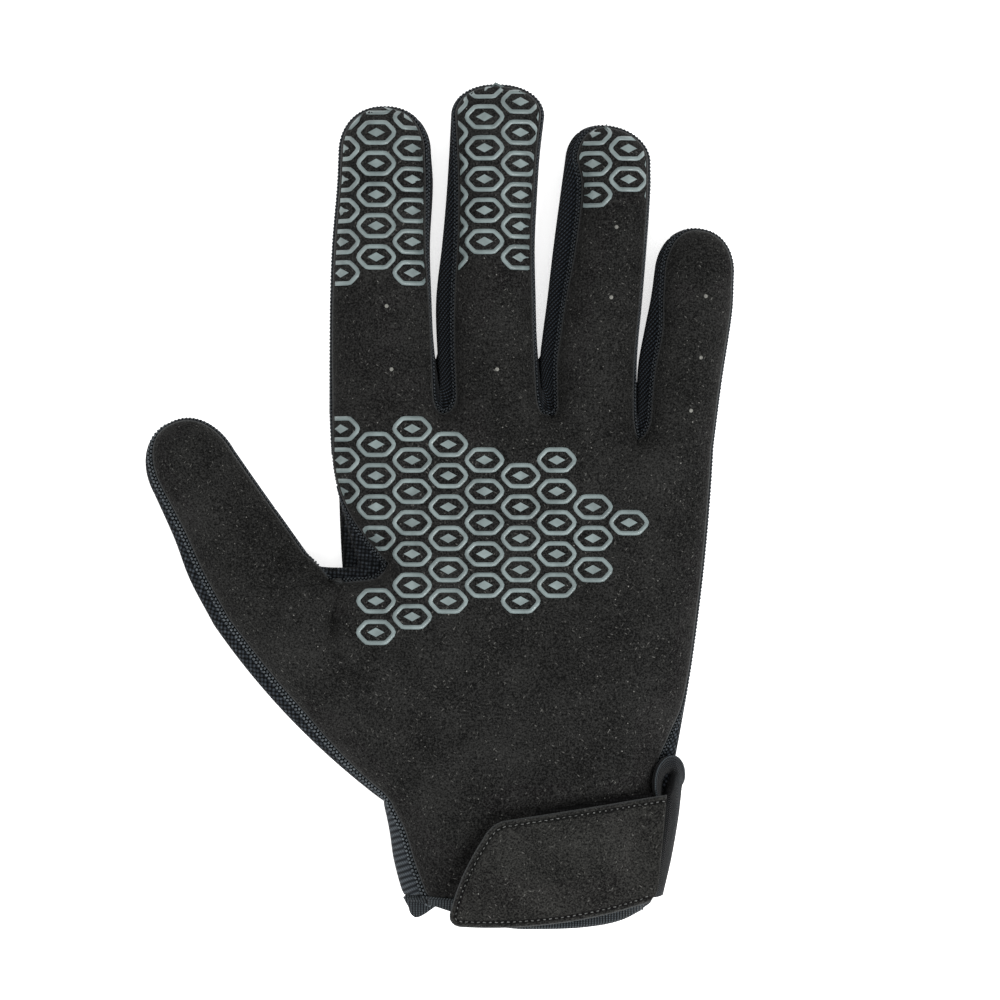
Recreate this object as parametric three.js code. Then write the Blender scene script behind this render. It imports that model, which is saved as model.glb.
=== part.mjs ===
import * as THREE from 'three';

// A left-hand motorcycle glove that lies on its back with the palm up and the fingers along +Y.
// The whole skin of the glove is worked out as one closed surface. It is then cut along its seams into
// panels, and each panel gets its own wall. Lengths are in millimetres, angles in degrees.

// Lengths of the hand
const palmLength = 138.5; // hem at its lowest to the crotch beside the index finger
const wristWidth = 75.6; // across the narrow of the wrist
const wristHeight = 32.6; // hem to the narrow of the wrist, where the strap's upper edge lies
const hemBow = 6.5; // about how far the middle of the hem hangs below its ends
const thumbWidth = 31.9;
const thumbLength = 53.5;
const indexWidth = 30.9;
const indexLength = 83.2;
const middleWidth = 27.1;
const middleLength = 89.1;
const ringWidth = 25.4;
const ringLength = 81.5;
const littleWidth = 20.3;
const littleLength = 57.3;
const littleCrotchDrop = 6.8; // crotch beside the little finger, below the other two
const thenarBulge = 2.7; // ball of the thumb, outside the straight line from wrist to thumb
const palmEdgeBulge = 2; // little-finger edge of the palm, outside the straight line

// Webs between the digits
const fingerWeb = 15; // front crotch to back crotch of two fingers
const thumbWeb = 12.5; // the same beside the thumb
const crotchReach = 17; // length over which a seam leaves the crotch
const thumbCrotchReach = 29.7;
const thumbSeamDip = 7; // how far the seam of the thumb sags below its way to the crotch
const thumbWebRise = 2.5; // back crotch of the thumb, towards the fingers from the front one

// Heights above the surface that the glove lies on
const palmSeamHeight = 9.5;
const crotchSeamHeight = 12;
const fingerSeamHeight = 8.5;
const tipSeamHeight = 7.4; // front seam round the fingertips
const tipBackHeight = 3.6;
const tipInset = 0.5; // front seam at the fingertips, in from the outline
const backSeamHeight = 3.4;
const backCrotchHeight = 5;
const crownHeight = 11.4; // how far a wide sheet rises above its seams
const crownRun = 16; // run in which it rises
const backRun = 5.5; // run in which the back sheet comes down flat
const backInset = 2.4; // back edge of a side strip, in from the outline
const sideReveal = 4.4; // widest side strip that shows from above, in from the outline

// Walls and gaps
const suedeWall = 1.2;
const knitWall = 1.2;
const ribWall = 1.5;
const bindingWall = 2.2;
const seamGap = 0.3;

// Strap
const strapLength = 56.2; // along its middle
const strapWidth = 25.6;
const strapThickness = 1.9;
const hookThickness = 1.1;
const hookShow = 1; // hook layer beyond the strap's upper edge
const strapSlant = 16.5; // how far its free end is cut aslant
const strapTaper = 6.9; // how far its other end is cut aslant, the same way
const strapTilt = 8.8;
const strapCorner = 3.8;
const strapSag = 3.2; // bow of its lower edge
const strapRise = 3.6; // upper corner of its end, above the narrow of the wrist
const strapInset = 0.3; // the same corner, in from the little-finger edge
const strapClearance = 0.6; // over the palm
const strapShoulder = 5; // beside the seam at the edge of the wrist it lies straight, not on the palm
const elasticThickness = 1.1;
const elasticTuck = 3; // under the strap's end
const elasticStand = 4.1; // how far its loop stands out from the strap's end
const elasticRise = 8.5; // how far its turn lies towards the fingers
const elasticFloor = 2.4; // height of the leg that lies behind the wrist

// Places that are shares of the knuckles' width and of palmLength, from the index edge and the hem
const thumbRootPlace = { across: -0.167, up: 0.645 };
const thumbCrotchPlace = { across: 0.154, up: 0.71 };
const wristMiddlePlace = 0.51;
const splitShare = 0.16; // line below the thumb's crotch, across the wrist
const webMiddle = { finger: 0.45, thumb: 0.6 }; // where a web lies in the outline, from its front crotch

// Rows of the wrist from the hem up. up: share of wristHeight; left, right: share of wristWidth from the
// wrist's middle; riseLeft, riseRight: how far the row's ends lie above its middle, as shares of hemBow
const wristRows = [
  { up: 0, left: -0.429, right: 0.44, riseLeft: 0.85, riseRight: 1.3 },
  { up: 0.16, left: -0.454, right: 0.472, riseLeft: 0.75, riseRight: 1.1 },
  { up: 0.42, left: -0.468, right: 0.489, riseLeft: 0.6, riseRight: 0.8 },
  { up: 0.72, left: -0.485, right: 0.497, riseLeft: 0.4, riseRight: 0.5 },
  { up: 1, left: -0.507, right: 0.507, riseLeft: 0.2, riseRight: 0.2 },
];

// Side strip left open to view beside the palm, from the hem to the knuckles: shares of sideReveal
const revealRows = [
  { row: 0, left: 1.36, right: 0.57 },
  { row: 1, left: 1.48, right: 0.6 },
  { row: 3, left: 1.02, right: 0.68 },
  { row: 4, left: 0.5, right: 0.73 },
  { row: 5, left: 0.55, right: 1.1 },
  { row: 6, left: 0.75, right: 0.7 },
  { row: 7, left: 0.95, right: 0.2 },
  { row: 10, left: 1, right: 0.14 },
  { row: 15, left: 0.14, right: 0.14 },
];

// Outline of each digit. at: share of its length; left, right: outline from the axis, as shares of its
// width; showLeft, showRight: side strip open to view, as shares of its width.
const digits = [
  {
    name: 'thumb', width: thumbWidth, length: thumbLength, tip: 0.278, lean: -29.5, skew: 0,
    outline: [
      { at: 0, left: 0.501, right: 0.504, showLeft: 0.14, showRight: 0.02 },
      { at: 0.263, left: 0.489, right: 0.458, showLeft: 0.135, showRight: 0.02 },
      { at: 0.48, left: 0.432, right: 0.419, showLeft: 0.11, showRight: 0.02 },
      { at: 0.722, left: 0.394, right: 0.381, showLeft: 0.085, showRight: 0.02 },
    ],
  },
  {
    name: 'index', width: indexWidth, length: indexLength, tip: 0.149, lean: 0.3, skew: 0,
    outline: [
      { at: 0, left: 0.5, right: 0.434, showLeft: 0.03, showRight: 0.015 },
      { at: 0.208, left: 0.499, right: 0.41, showLeft: 0.02, showRight: 0.015 },
      { at: 0.37, left: 0.497, right: 0.39, showLeft: 0.02, showRight: 0.018 },
      { at: 0.549, left: 0.482, right: 0.374, showLeft: 0.02, showRight: 0.035 },
      { at: 0.744, left: 0.441, right: 0.397, showLeft: 0.02, showRight: 0.06 },
      { at: 0.851, left: 0.43, right: 0.378, showLeft: 0.02, showRight: 0.05 },
    ],
  },
  {
    name: 'middle', width: middleWidth, length: middleLength, tip: 0.094, lean: 1.1, skew: 0,
    outline: [
      { at: 0, left: 0.525, right: 0.47, showLeft: 0.16, showRight: 0.03 },
      { at: 0.194, left: 0.577, right: 0.423, showLeft: 0.17, showRight: 0.03 },
      { at: 0.345, left: 0.596, right: 0.399, showLeft: 0.18, showRight: 0.03 },
      { at: 0.512, left: 0.547, right: 0.379, showLeft: 0.15, showRight: 0.03 },
      { at: 0.648, left: 0.515, right: 0.39, showLeft: 0.12, showRight: 0.03 },
      { at: 0.785, left: 0.494, right: 0.411, showLeft: 0.08, showRight: 0.03 },
      { at: 0.906, left: 0.482, right: 0.449, showLeft: 0.04, showRight: 0.03 },
    ],
  },
  {
    name: 'ring', width: ringWidth, length: ringLength, tip: 0.119, lean: 3.4, skew: 0.1,
    outline: [
      { at: 0, left: 0.532, right: 0.479, showLeft: 0.18, showRight: 0.025 },
      { at: 0.203, left: 0.582, right: 0.45, showLeft: 0.18, showRight: 0.025 },
      { at: 0.3, left: 0.568, right: 0.453, showLeft: 0.185, showRight: 0.025 },
      { at: 0.4, left: 0.545, right: 0.466, showLeft: 0.19, showRight: 0.025 },
      { at: 0.598, left: 0.508, right: 0.481, showLeft: 0.23, showRight: 0.025 },
      { at: 0.796, left: 0.461, right: 0.486, showLeft: 0.21, showRight: 0.025 },
      { at: 0.881, left: 0.44, right: 0.469, showLeft: 0.12, showRight: 0.025 },
    ],
  },
  {
    name: 'little', width: littleWidth, length: littleLength, tip: 0.212, lean: 5.8, skew: 0,
    outline: [
      { at: 0, left: 0.553, right: 0.513, showLeft: 0.2, showRight: 0.02 },
      { at: 0.294, left: 0.597, right: 0.536, showLeft: 0.23, showRight: 0.02 },
      { at: 0.507, left: 0.552, right: 0.568, showLeft: 0.23, showRight: 0.02 },
      { at: 0.649, left: 0.513, right: 0.58, showLeft: 0.16, showRight: 0.02 },
      { at: 0.788, left: 0.499, right: 0.555, showLeft: 0.13, showRight: 0.02 },
    ],
  },
];

// Folds and dents of the palm sheet. across, up: middle of the fold as shares of the knuckles' width from
// the index edge and of palmLength from the hem; turn: degrees from +X; run, spread: half length and
// half width; rise: height, down where it is below 0.
const folds = [
  { name: 'thumb tuck', across: 0.015, up: 0.6, turn: 84, run: 9, spread: 3.5, rise: -2.6 },
  { name: 'ball of the thumb', across: -0.1, up: 0.57, turn: 62, run: 17, spread: 9, rise: 2.2 },
  { name: 'thumb joint', across: -0.13, up: 0.72, turn: 72, run: 7, spread: 3.5, rise: -1.4 },
  { name: 'hollow of the hand', across: 0.5, up: 0.62, turn: 70, run: 34, spread: 20, rise: -2.2 },
  { name: 'index root', across: 0.16, up: 1.05, turn: 4, run: 9, spread: 4, rise: -0.9 },
  { name: 'middle root', across: 0.43, up: 1.06, turn: -3, run: 8, spread: 4, rise: -1.1 },
  { name: 'middle joint', across: 0.43, up: 1.25, turn: 3, run: 8, spread: 4, rise: -0.9 },
  { name: 'ring root', across: 0.69, up: 1.16, turn: 6, run: 8, spread: 4, rise: -1 },
  { name: 'little root', across: 0.91, up: 0.98, turn: 8, run: 7, spread: 4, rise: -0.9 },
  { name: 'wrist fold', across: 0.42, up: 0.3, turn: 12, run: 22, spread: 5, rise: -1.2 },
];

// Rows and cells of the mesh
const wristRowCount = wristRows.length - 1;
const thumbRow = 10; // row of the crotch beside the thumb
const knuckleRow = 15; // row of the crotches between the fingers
const bodySteps = [0, 0.05, 0.12, 0.21, 0.34, 0.5, 0.66, 0.83, 1];
const tipAngles = [25, 47, 66, 90];
const sheetCells = [0, 0.12, 0.34, 0.66, 0.88, 1];
const stripCells = 3;
const gussetEndRow = bodySteps.length + 1; // row of a digit where its gusset ends
const thumbGussetEndRow = 5;
const tipPower = 0.87;
const hemRun = 40;

const mix = (a, b, share) => a + (b - a) * share;
const mixPoint = (p, q, share) => ({ x: mix(p.x, q.x, share), y: mix(p.y, q.y, share), z: mix(p.z, q.z, share) });
const turned = (p, dx, dy, angle) => {
  const a = THREE.MathUtils.degToRad(angle);
  return { x: p.x + dx * Math.cos(a) + dy * Math.sin(a), y: p.y - dx * Math.sin(a) + dy * Math.cos(a) };
};

// Smooth value of one column of a table at a place between its rows
function valueAt(rows, place, key, value) {
  const last = rows.length - 1;
  let i = 0;
  while (i < last - 1 && value > rows[i + 1][place]) i += 1;
  const [a, b] = [rows[i], rows[i + 1]];
  const before = rows[Math.max(i - 1, 0)];
  const after = rows[Math.min(i + 2, last)];
  const run = b[place] - a[place];
  const share = THREE.MathUtils.clamp((value - a[place]) / run, 0, 1);
  const slopeA = ((b[key] - before[key]) / (b[place] - before[place])) * run;
  const slopeB = ((after[key] - a[key]) / (after[place] - a[place])) * run;
  const s2 = share * share;
  const s3 = s2 * share;
  return (2 * s3 - 3 * s2 + 1) * a[key] + (s3 - 2 * s2 + share) * slopeA
    + (3 * s2 - 2 * s3) * b[key] + (s3 - s2) * slopeB;
}

// Places of the digits' roots, worked out across the knuckles from the index edge
const fingers = digits.slice(1);
const knuckleWidth = fingers.reduce((sum, finger) => sum + finger.width, 0);
const [thumb, index, middle, ring, little] = digits;
let across = 0;
for (const finger of fingers) {
  finger.start = across;
  across += finger.width;
}
const crotchDrop = { index: 0, middle: 0, ring: littleCrotchDrop / 2, little: littleCrotchDrop };
for (const finger of fingers) {
  finger.root = { x: finger.start + finger.width / 2, y: palmLength - crotchDrop[finger.name] };
}
const placeOf = ({ across: share, up }) => ({ x: share * knuckleWidth, y: up * palmLength });
thumb.root = placeOf(thumbRootPlace);
const wristMiddle = wristMiddlePlace * knuckleWidth;

// Point of a digit's outline. side: -1 left, 1 right; inward: how far inside the outline at the side;
// nose: how far inside it at the fingertip
function outlinePoint(digit, side, at, angle, inward, nose) {
  const column = side < 0 ? 'left' : 'right';
  const out = (key) => valueAt(digit.outline, 'at', key, at) * digit.width;
  const middleOff = angle ? (out('right') - out('left')) / 2 : 0;
  const turn = THREE.MathUtils.degToRad(angle);
  const reach = side * (out(column) - inward) - middleOff;
  const off = middleOff + reach * (angle === 90 ? 0 : Math.cos(turn) ** tipPower);
  const skewed = -digit.skew * off * Math.sin(turn);
  const along = at * digit.length + (digit.tip * digit.length - nose) * Math.sin(turn) + skewed;
  return turned(digit.root, off, angle === 90 ? along + digit.skew * off : along, digit.lean);
}

// The three lines of a side strip: its seam with the front sheet, the outline, its seam with the back
const lines = ['front', 'outline', 'back'];
const seamHeight = { front: fingerSeamHeight, outline: 0, back: backSeamHeight };
const palmHeight = { front: palmSeamHeight, outline: 0, back: backSeamHeight };
const crotchHeight = { front: crotchSeamHeight, outline: 0, back: backCrotchHeight };
const noseHeight = { front: tipSeamHeight, outline: 0, back: tipBackHeight };
const noseInset = { front: tipInset, outline: 0, back: backInset };

// One side of a digit from its root to its tip, for one of the three lines. crotch: where it starts
function digitSide(digit, side, line, crotch, web, reach) {
  const bodyEnd = 1 - digit.tip;
  const show = side < 0 ? 'showLeft' : 'showRight';
  const start = crotch ? { front: 0, outline: web / 2, back: web }[line] / digit.length : 0;
  const rows = bodySteps.map((step) => ({ at: mix(start, bodyEnd, step), angle: 0 }));
  rows.push(...tipAngles.map((angle) => ({ at: bodyEnd, angle })));
  const heightAtRoot = crotch ? crotchHeight[line] : palmHeight[line];
  const points = rows.map(({ at, angle }) => {
    const inward = { front: valueAt(digit.outline, 'at', show, at) * digit.width, outline: 0, back: backInset };
    const point = outlinePoint(digit, side, at, angle, inward[line], noseInset[line]);
    const fade = Math.min(1, ((at - start) * digit.length) / reach);
    const lift = Math.sin(THREE.MathUtils.degToRad(angle));
    const height = mix(heightAtRoot, seamHeight[line], 1 - (1 - fade) ** 2);
    point.z = mix(height, noseHeight[line], lift);
    point.fade = fade;
    return point;
  });
  if (crotch) {
    const shift = { x: crotch[line].x - points[0].x, y: crotch[line].y - points[0].y };
    for (const point of points) {
      const left = (1 - point.fade) ** (crotch.power ?? 2);
      point.x += shift.x * left;
      point.y += shift.y * left - (crotch.dip ?? 0) * 6.75 * point.fade * (1 - point.fade) ** 2;
    }
    Object.assign(points[0], crotch[line]);
  }
  Object.assign(points[points.length - 1], outlinePoint(digit, 1, bodyEnd, 90, 0, noseInset[line]));
  return points;
}

// Crotch between two fingers: front and back points, and the point that the web passes between them
function fingerCrotch(left, right, drop) {
  const front = { x: right.start, y: palmLength - drop, z: crotchSeamHeight };
  const leftSide = outlinePoint(left, 1, fingerWeb / left.length, 0, 0, 0);
  const rightSide = outlinePoint(right, -1, fingerWeb / right.length, 0, 0, 0);
  const back = { x: (leftSide.x + rightSide.x) / 2, y: front.y + fingerWeb, z: backCrotchHeight };
  return { front, back, outline: mixPoint(front, back, webMiddle.finger), power: 2 };
}
const crotches = {
  thumb: (() => {
    const front = { ...placeOf(thumbCrotchPlace), z: crotchSeamHeight };
    const back = { x: front.x - thumbWeb, y: front.y + thumbWebRise, z: backCrotchHeight };
    return { front, back, outline: mixPoint(front, back, webMiddle.thumb), power: 3, dip: thumbSeamDip };
  })(),
  index: fingerCrotch(index, middle, 0),
  middle: fingerCrotch(middle, ring, 0),
  ring: fingerCrotch(ring, little, littleCrotchDrop),
};

// Sides of every digit for the three lines
const sides = {};
for (const line of lines) {
  const make = (digit, side, crotch, web, reach) => digitSide(digit, side, line, crotch, web, reach);
  sides[line] = {
    thumbLeft: make(thumb, -1, null, 0, crotchReach),
    thumbRight: make(thumb, 1, crotches.thumb, 0, crotchReach),
    indexLeft: make(index, -1, null, 0, crotchReach),
    indexRight: make(index, 1, crotches.index, fingerWeb, crotchReach),
    middleLeft: make(middle, -1, crotches.index, fingerWeb, crotchReach),
    middleRight: make(middle, 1, crotches.middle, fingerWeb, crotchReach),
    ringLeft: make(ring, -1, crotches.middle, fingerWeb, crotchReach),
    ringRight: make(ring, 1, crotches.ring, fingerWeb, crotchReach),
    littleLeft: make(little, -1, crotches.ring, fingerWeb, crotchReach),
    littleRight: make(little, 1, null, 0, crotchReach),
  };
}

// Height of a wrist row above the hem's lowest point. share: place across the row, from its left end
function wristHeightAt(row, share) {
  const { up, riseLeft, riseRight } = wristRows[row];
  return up * wristHeight + hemBow * (share < 0.5 ? riseLeft : riseRight) * (1 - 2 * share) ** 2;
}

// Palm below the digits: for each row its left end, the line below the thumb's crotch, and its right end
function palmRows(line) {
  const side = sides[line];
  const plain = sides.outline;
  const height = palmHeight[line];
  const inwardAt = (row, key) => ({
    front: valueAt(revealRows, 'row', key, row) * sideReveal, outline: 0, back: backInset,
  })[line];
  const wristPoint = (row, key, sign) => ({
    x: wristMiddle + wristRows[row][key] * wristWidth - sign * inwardAt(row, key),
    y: wristHeightAt(row, key === 'left' ? 0 : 1),
    z: height,
  });
  const rows = [];
  for (let row = 0; row <= knuckleRow; row += 1) {
    const entry = {};
    if (row <= wristRowCount) {
      entry.left = wristPoint(row, 'left', -1);
      entry.right = wristPoint(row, 'right', 1);
    } else {
      const share = (row - wristRowCount) / (knuckleRow - wristRowCount);
      const foot = wristPoint(wristRowCount, 'right', 1);
      const head = plain.littleRight[0];
      entry.right = mixPoint(foot, head, share);
      const bulge = palmEdgeBulge * 4 * share * (1 - share);
      entry.right.x += bulge + (line === 'outline' ? 0 : -inwardAt(row, 'right') * share
        + (inwardAt(wristRowCount, 'right') - inwardAt(row, 'right')) * (1 - share));
    }
    if (row > wristRowCount && row <= thumbRow) {
      const share = (row - wristRowCount) / (thumbRow - wristRowCount);
      const foot = wristPoint(wristRowCount, 'left', -1);
      foot.x -= inwardAt(wristRowCount, 'left');
      const head = plain.thumbLeft[0];
      const run = Math.hypot(head.x - foot.x, head.y - foot.y);
      const out = { x: -(head.y - foot.y) / run, y: (head.x - foot.x) / run };
      const push = thenarBulge * 4 * share * (1 - share) - inwardAt(row, 'left');
      entry.left = mixPoint(foot, head, share);
      entry.left.x += out.x * push;
      entry.left.y += out.y * push;
    }
    if (row <= thumbRow) {
      const splitPoint = (at, share) => ({
        ...mixPoint(wristPoint(at, 'left', -1), wristPoint(at, 'right', 1), share), y: wristHeightAt(at, share),
      });
      const neck = splitPoint(wristRowCount, splitShare);
      entry.split = row <= wristRowCount ? splitPoint(row, splitShare)
        : mixPoint(neck, crotches.thumb[line], (row - wristRowCount) / (thumbRow - wristRowCount));
    } else {
      const crotch = crotches.thumb[line];
      const head = side.indexLeft[0];
      const share = (row - thumbRow) / (knuckleRow - thumbRow);
      const climb = 1 - (1 - share) ** 1.15;
      entry.split = mixPoint(crotch, head, climb);
      const fade = Math.max(0, 1 - (climb * (head.y - crotch.y)) / thumbCrotchReach) ** 2;
      entry.split.x = mix(head.x, crotch.x, fade);
      entry.split.z = mix(head.z, crotch.z, fade);
    }
    for (const key of ['left', 'split', 'right']) {
      if (entry[key]) entry[key].z = key === 'split' && row >= thumbRow ? entry[key].z : height;
    }
    rows.push(entry);
  }
  rows[thumbRow].left = side.thumbLeft[0];
  rows[thumbRow].split = crotches.thumb[line];
  rows[knuckleRow].split = side.indexLeft[0];
  rows[knuckleRow].right = side.littleRight[0];
  return rows;
}

// Lines of the sheet between its ends, from the hem to the crotches, as shares of the row
const innerShares = { hem: [0.25, 0.5, 0.75], thumb: [0.213, 0.5, 0.76] };
const innerCrotches = [crotches.index, crotches.middle, crotches.ring];
function innerLines(rows, line) {
  const atThumb = innerShares.thumb.map((share) => mixPoint(rows[thumbRow].split, rows[thumbRow].right, share));
  return rows.map((entry, row) => innerCrotches.map((crotch, k) => {
    if (row >= thumbRow) {
      const share = (row - thumbRow) / (knuckleRow - thumbRow);
      return row === knuckleRow ? crotch[line] : mixPoint(atThumb[k], crotch[line], share);
    }
    const share = mix(innerShares.hem[k], innerShares.thumb[k], row / thumbRow);
    const point = mixPoint(entry.split, entry.right, share);
    return row > wristRowCount ? point : { ...point, y: wristHeightAt(row, mix(splitShare, 1, share)) };
  }));
}

// Seam lines of a sheet, with the side seams run on past the hem
function seamChains(line, rows) {
  const side = sides[line];
  const runOn = (point) => ({ ...point, y: point.y - hemRun });
  const left = rows.slice(0, thumbRow + 1).map((entry) => entry.left);
  const split = rows.slice(thumbRow).map((entry) => entry.split);
  const right = rows.map((entry) => entry.right);
  return [
    [runOn(left[0]), ...left, ...side.thumbLeft.slice(1)],
    [...side.thumbRight].reverse().concat(split.slice(1), side.indexLeft.slice(1)),
    [...side.indexRight].reverse().concat(side.middleLeft.slice(1)),
    [...side.middleRight].reverse().concat(side.ringLeft.slice(1)),
    [...side.ringRight].reverse().concat(side.littleLeft.slice(1)),
    [runOn(right[0]), ...right, ...side.littleRight.slice(1)],
  ];
}

// Distance to the seams and height of the seams nearby, both smooth: every stretch of seam weighs by the
// inverse cube of its distance, which gives the true distance beside one straight seam
function seamField(chains) {
  const stretches = chains.flatMap((chain) => chain.slice(1).map((q, i) => {
    const p = chain[i];
    const run = Math.hypot(q.x - p.x, q.y - p.y);
    return { p, run, ux: (q.x - p.x) / run, uy: (q.y - p.y) / run, z: (p.z + q.z) / 2 };
  })).filter(({ run }) => run > 0);
  return (x, y) => {
    let weights = 0;
    let heights = 0;
    for (const { p, run, ux, uy, z } of stretches) {
      const s1 = (p.x - x) * ux + (p.y - y) * uy;
      const s2 = s1 + run;
      const n2 = Math.max((p.x - x) ** 2 + (p.y - y) ** 2 - s1 * s1, 1e-4);
      const weight = (s2 / Math.sqrt(n2 + s2 * s2) - s1 / Math.sqrt(n2 + s1 * s1)) / n2;
      weights += weight;
      heights += weight * z;
    }
    return { distance: Math.sqrt(2 / weights), height: heights / weights };
  };
}

function foldHeight(x, y) {
  return folds.reduce((sum, fold) => {
    const middlePoint = placeOf(fold);
    const a = THREE.MathUtils.degToRad(fold.turn);
    const along = (x - middlePoint.x) * Math.cos(a) + (y - middlePoint.y) * Math.sin(a);
    const aside = (y - middlePoint.y) * Math.cos(a) - (x - middlePoint.x) * Math.sin(a);
    return sum + fold.rise * Math.exp(-((along / fold.run) ** 2) - (aside / fold.spread) ** 2);
  }, 0);
}

const rowsOf = { front: palmRows('front'), outline: palmRows('outline'), back: palmRows('back') };
const frontField = seamField(seamChains('front', rowsOf.front));
const backField = seamField(seamChains('back', rowsOf.back));

function frontHeight(x, y) {
  const { distance, height } = frontField(x, y);
  const share = Math.sqrt(1 - Math.exp(-distance / crownRun));
  return height + crownHeight * share + foldHeight(x, y) * share;
}

function backHeight(x, y) {
  const { distance, height } = backField(x, y);
  return height * Math.max(0, 1 - Math.sqrt(distance / backRun)) ** 2;
}

// The closed skin: its points, and its faces with the panel that each belongs to
const skin = { points: [], faces: [], lookup: new Map() };
function pointIndex({ x, y, z }) {
  const key = [x, y, z].map((value) => value.toFixed(4)).join(' ');
  if (!skin.lookup.has(key)) {
    skin.lookup.set(key, skin.points.length);
    skin.points.push(new THREE.Vector3(x, y, z));
  }
  return skin.lookup.get(key);
}
function addGrid(grid, panelOf, flip) {
  const indices = grid.map((row) => row.map(pointIndex));
  for (let i = 0; i + 1 < indices.length; i += 1) {
    for (let j = 0; j + 1 < indices[i].length; j += 1) {
      const [a, b] = [indices[i][j], indices[i][j + 1]];
      const [d, c] = [indices[i + 1][j], indices[i + 1][j + 1]];
      for (const face of [[a, b, c], [a, c, d]]) {
        if (new Set(face).size === 3) {
          skin.faces.push({ corners: flip ? face.reverse() : face, panel: panelOf(i) });
        }
      }
    }
  }
}

// Sheet between two lines of points, with heights of its own inside and the seams' heights on them
function addSheet(leftLine, rightLine, height, seamLeft, seamRight, panelOf, flip) {
  const last = sheetCells.length - 1;
  const grid = leftLine.map((left, i) => sheetCells.map((share, j) => {
    const point = mixPoint(left, rightLine[i], share);
    const onSeam = (j === 0 && seamLeft(i)) || (j === last && seamRight(i));
    return onSeam ? point : { ...point, z: height(point.x, point.y) };
  }));
  addGrid(grid, panelOf, flip);
}

// Side strip from the front seam over the outline to the back seam
function addStrip(front, outline, back, side, panelOf) {
  const grid = front.map((top, i) => Array.from({ length: stripCells + 1 }, (_, j) => {
    const share = j / stripCells;
    const point = mixPoint(top, back[i], share);
    const pull = Math.min(1, 4.4 * share * (1 - share));
    return { x: mix(point.x, outline[i].x, pull), y: mix(point.y, outline[i].y, pull), z: point.z };
  }));
  addGrid(grid, panelOf, side < 0);
}

const always = () => true;
const bottomPanel = (row) => {
  if (row === 0) return 'cuff_binding';
  return row < wristRowCount ? 'wrist_rib' : 'back_panel';
};
const topPanel = (row) => (row === 0 ? 'cuff_binding' : 'palm_panel');
for (const [line, height, panelOf, digitPanel, flip] of [
  ['front', frontHeight, topPanel, 'palm_panel', false],
  ['back', backHeight, bottomPanel, 'back_panel', true],
]) {
  const rows = rowsOf[line];
  const inner = innerLines(rows, line);
  const side = sides[line];
  const column = (k) => rows.map((entry, row) => {
    if (k === 0) return entry.split;
    return k === 4 ? entry.right : inner[row][k - 1];
  });
  const thumbLines = [rows.slice(0, thumbRow + 1).map((entry) => entry.left), column(0).slice(0, thumbRow + 1)];
  const atThumb = (row) => row >= thumbRow;
  const atKnuckle = (row) => row >= knuckleRow;
  addSheet(...thumbLines, height, always, atThumb, panelOf, flip);
  addSheet(column(0), column(1), height, atThumb, atKnuckle, panelOf, flip);
  addSheet(column(1), column(2), height, atKnuckle, atKnuckle, panelOf, flip);
  addSheet(column(2), column(3), height, atKnuckle, atKnuckle, panelOf, flip);
  addSheet(column(3), column(4), height, atKnuckle, always, panelOf, flip);
  for (const { name } of digits) {
    addSheet(side[`${name}Left`], side[`${name}Right`], height, always, always, () => digitPanel, flip);
  }
}

// Side strips, with the panel of each row of each digit
const stripPanels = {
  thumbLeft: () => 'back_panel',
  thumbRight: (row) => (row < thumbGussetEndRow ? 'gusset_thumb' : 'back_panel'),
  indexLeft: () => 'back_panel',
  indexRight: (row) => (row < gussetEndRow ? 'gusset_index_middle' : 'back_panel'),
  middleLeft: (row) => (row < gussetEndRow ? 'gusset_index_middle' : 'back_panel'),
  middleRight: (row) => (row < gussetEndRow ? 'gusset_middle_ring' : 'back_panel'),
  ringLeft: (row) => (row < gussetEndRow ? 'gusset_middle_ring' : 'back_panel'),
  ringRight: (row) => (row < gussetEndRow ? 'gusset_ring_little' : 'back_panel'),
  littleLeft: (row) => (row < gussetEndRow ? 'gusset_ring_little' : 'back_panel'),
  littleRight: () => 'back_panel',
};
for (const [name, panelOf] of Object.entries(stripPanels)) {
  const sign = name.endsWith('Left') ? -1 : 1;
  addStrip(sides.front[name], sides.outline[name], sides.back[name], sign, panelOf);
}
const palmLine = (key, from, to) => lines.map((line) => rowsOf[line].slice(from, to + 1).map((entry) => entry[key]));
addStrip(...palmLine('left', 0, thumbRow), -1, bottomPanel);
addStrip(...palmLine('split', thumbRow, knuckleRow), -1, () => 'gusset_thumb');
addStrip(...palmLine('right', 0, knuckleRow), 1, bottomPanel);

// Direction out of the skin at each of its points
const corner = (face, k) => skin.points[face.corners[k]];
const faceNormal = (face) => {
  const along = corner(face, 1).clone().sub(corner(face, 0));
  const aside = corner(face, 2).clone().sub(corner(face, 0));
  return along.cross(aside);
};
const outward = skin.points.map(() => new THREE.Vector3());
for (const face of skin.faces) {
  const normal = faceNormal(face);
  for (const k of face.corners) outward[k].add(normal);
}
outward.forEach((normal) => normal.normalize());

// How far each point on a panel's edge is drawn back, along the panel, to leave half of the gap
function drawnBack(faces, edges, points) {
  const pulls = new Map();
  for (const [a, b, face] of edges) {
    const [p, q, r] = face.corners.map((k) => points[k]);
    const normal = q.clone().sub(p).cross(r.clone().sub(p)).normalize();
    const into = normal.cross(points[b].clone().sub(points[a])).normalize();
    for (const k of [a, b]) pulls.set(k, [...(pulls.get(k) ?? []), into]);
  }
  const shifts = new Map();
  for (const [k, [first, second]] of pulls) {
    const spread = Math.max(first.dot(second), -0.5);
    shifts.set(k, first.clone().add(second).multiplyScalar(seamGap / 2 / (1 + spread)));
  }
  return shifts;
}

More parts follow.
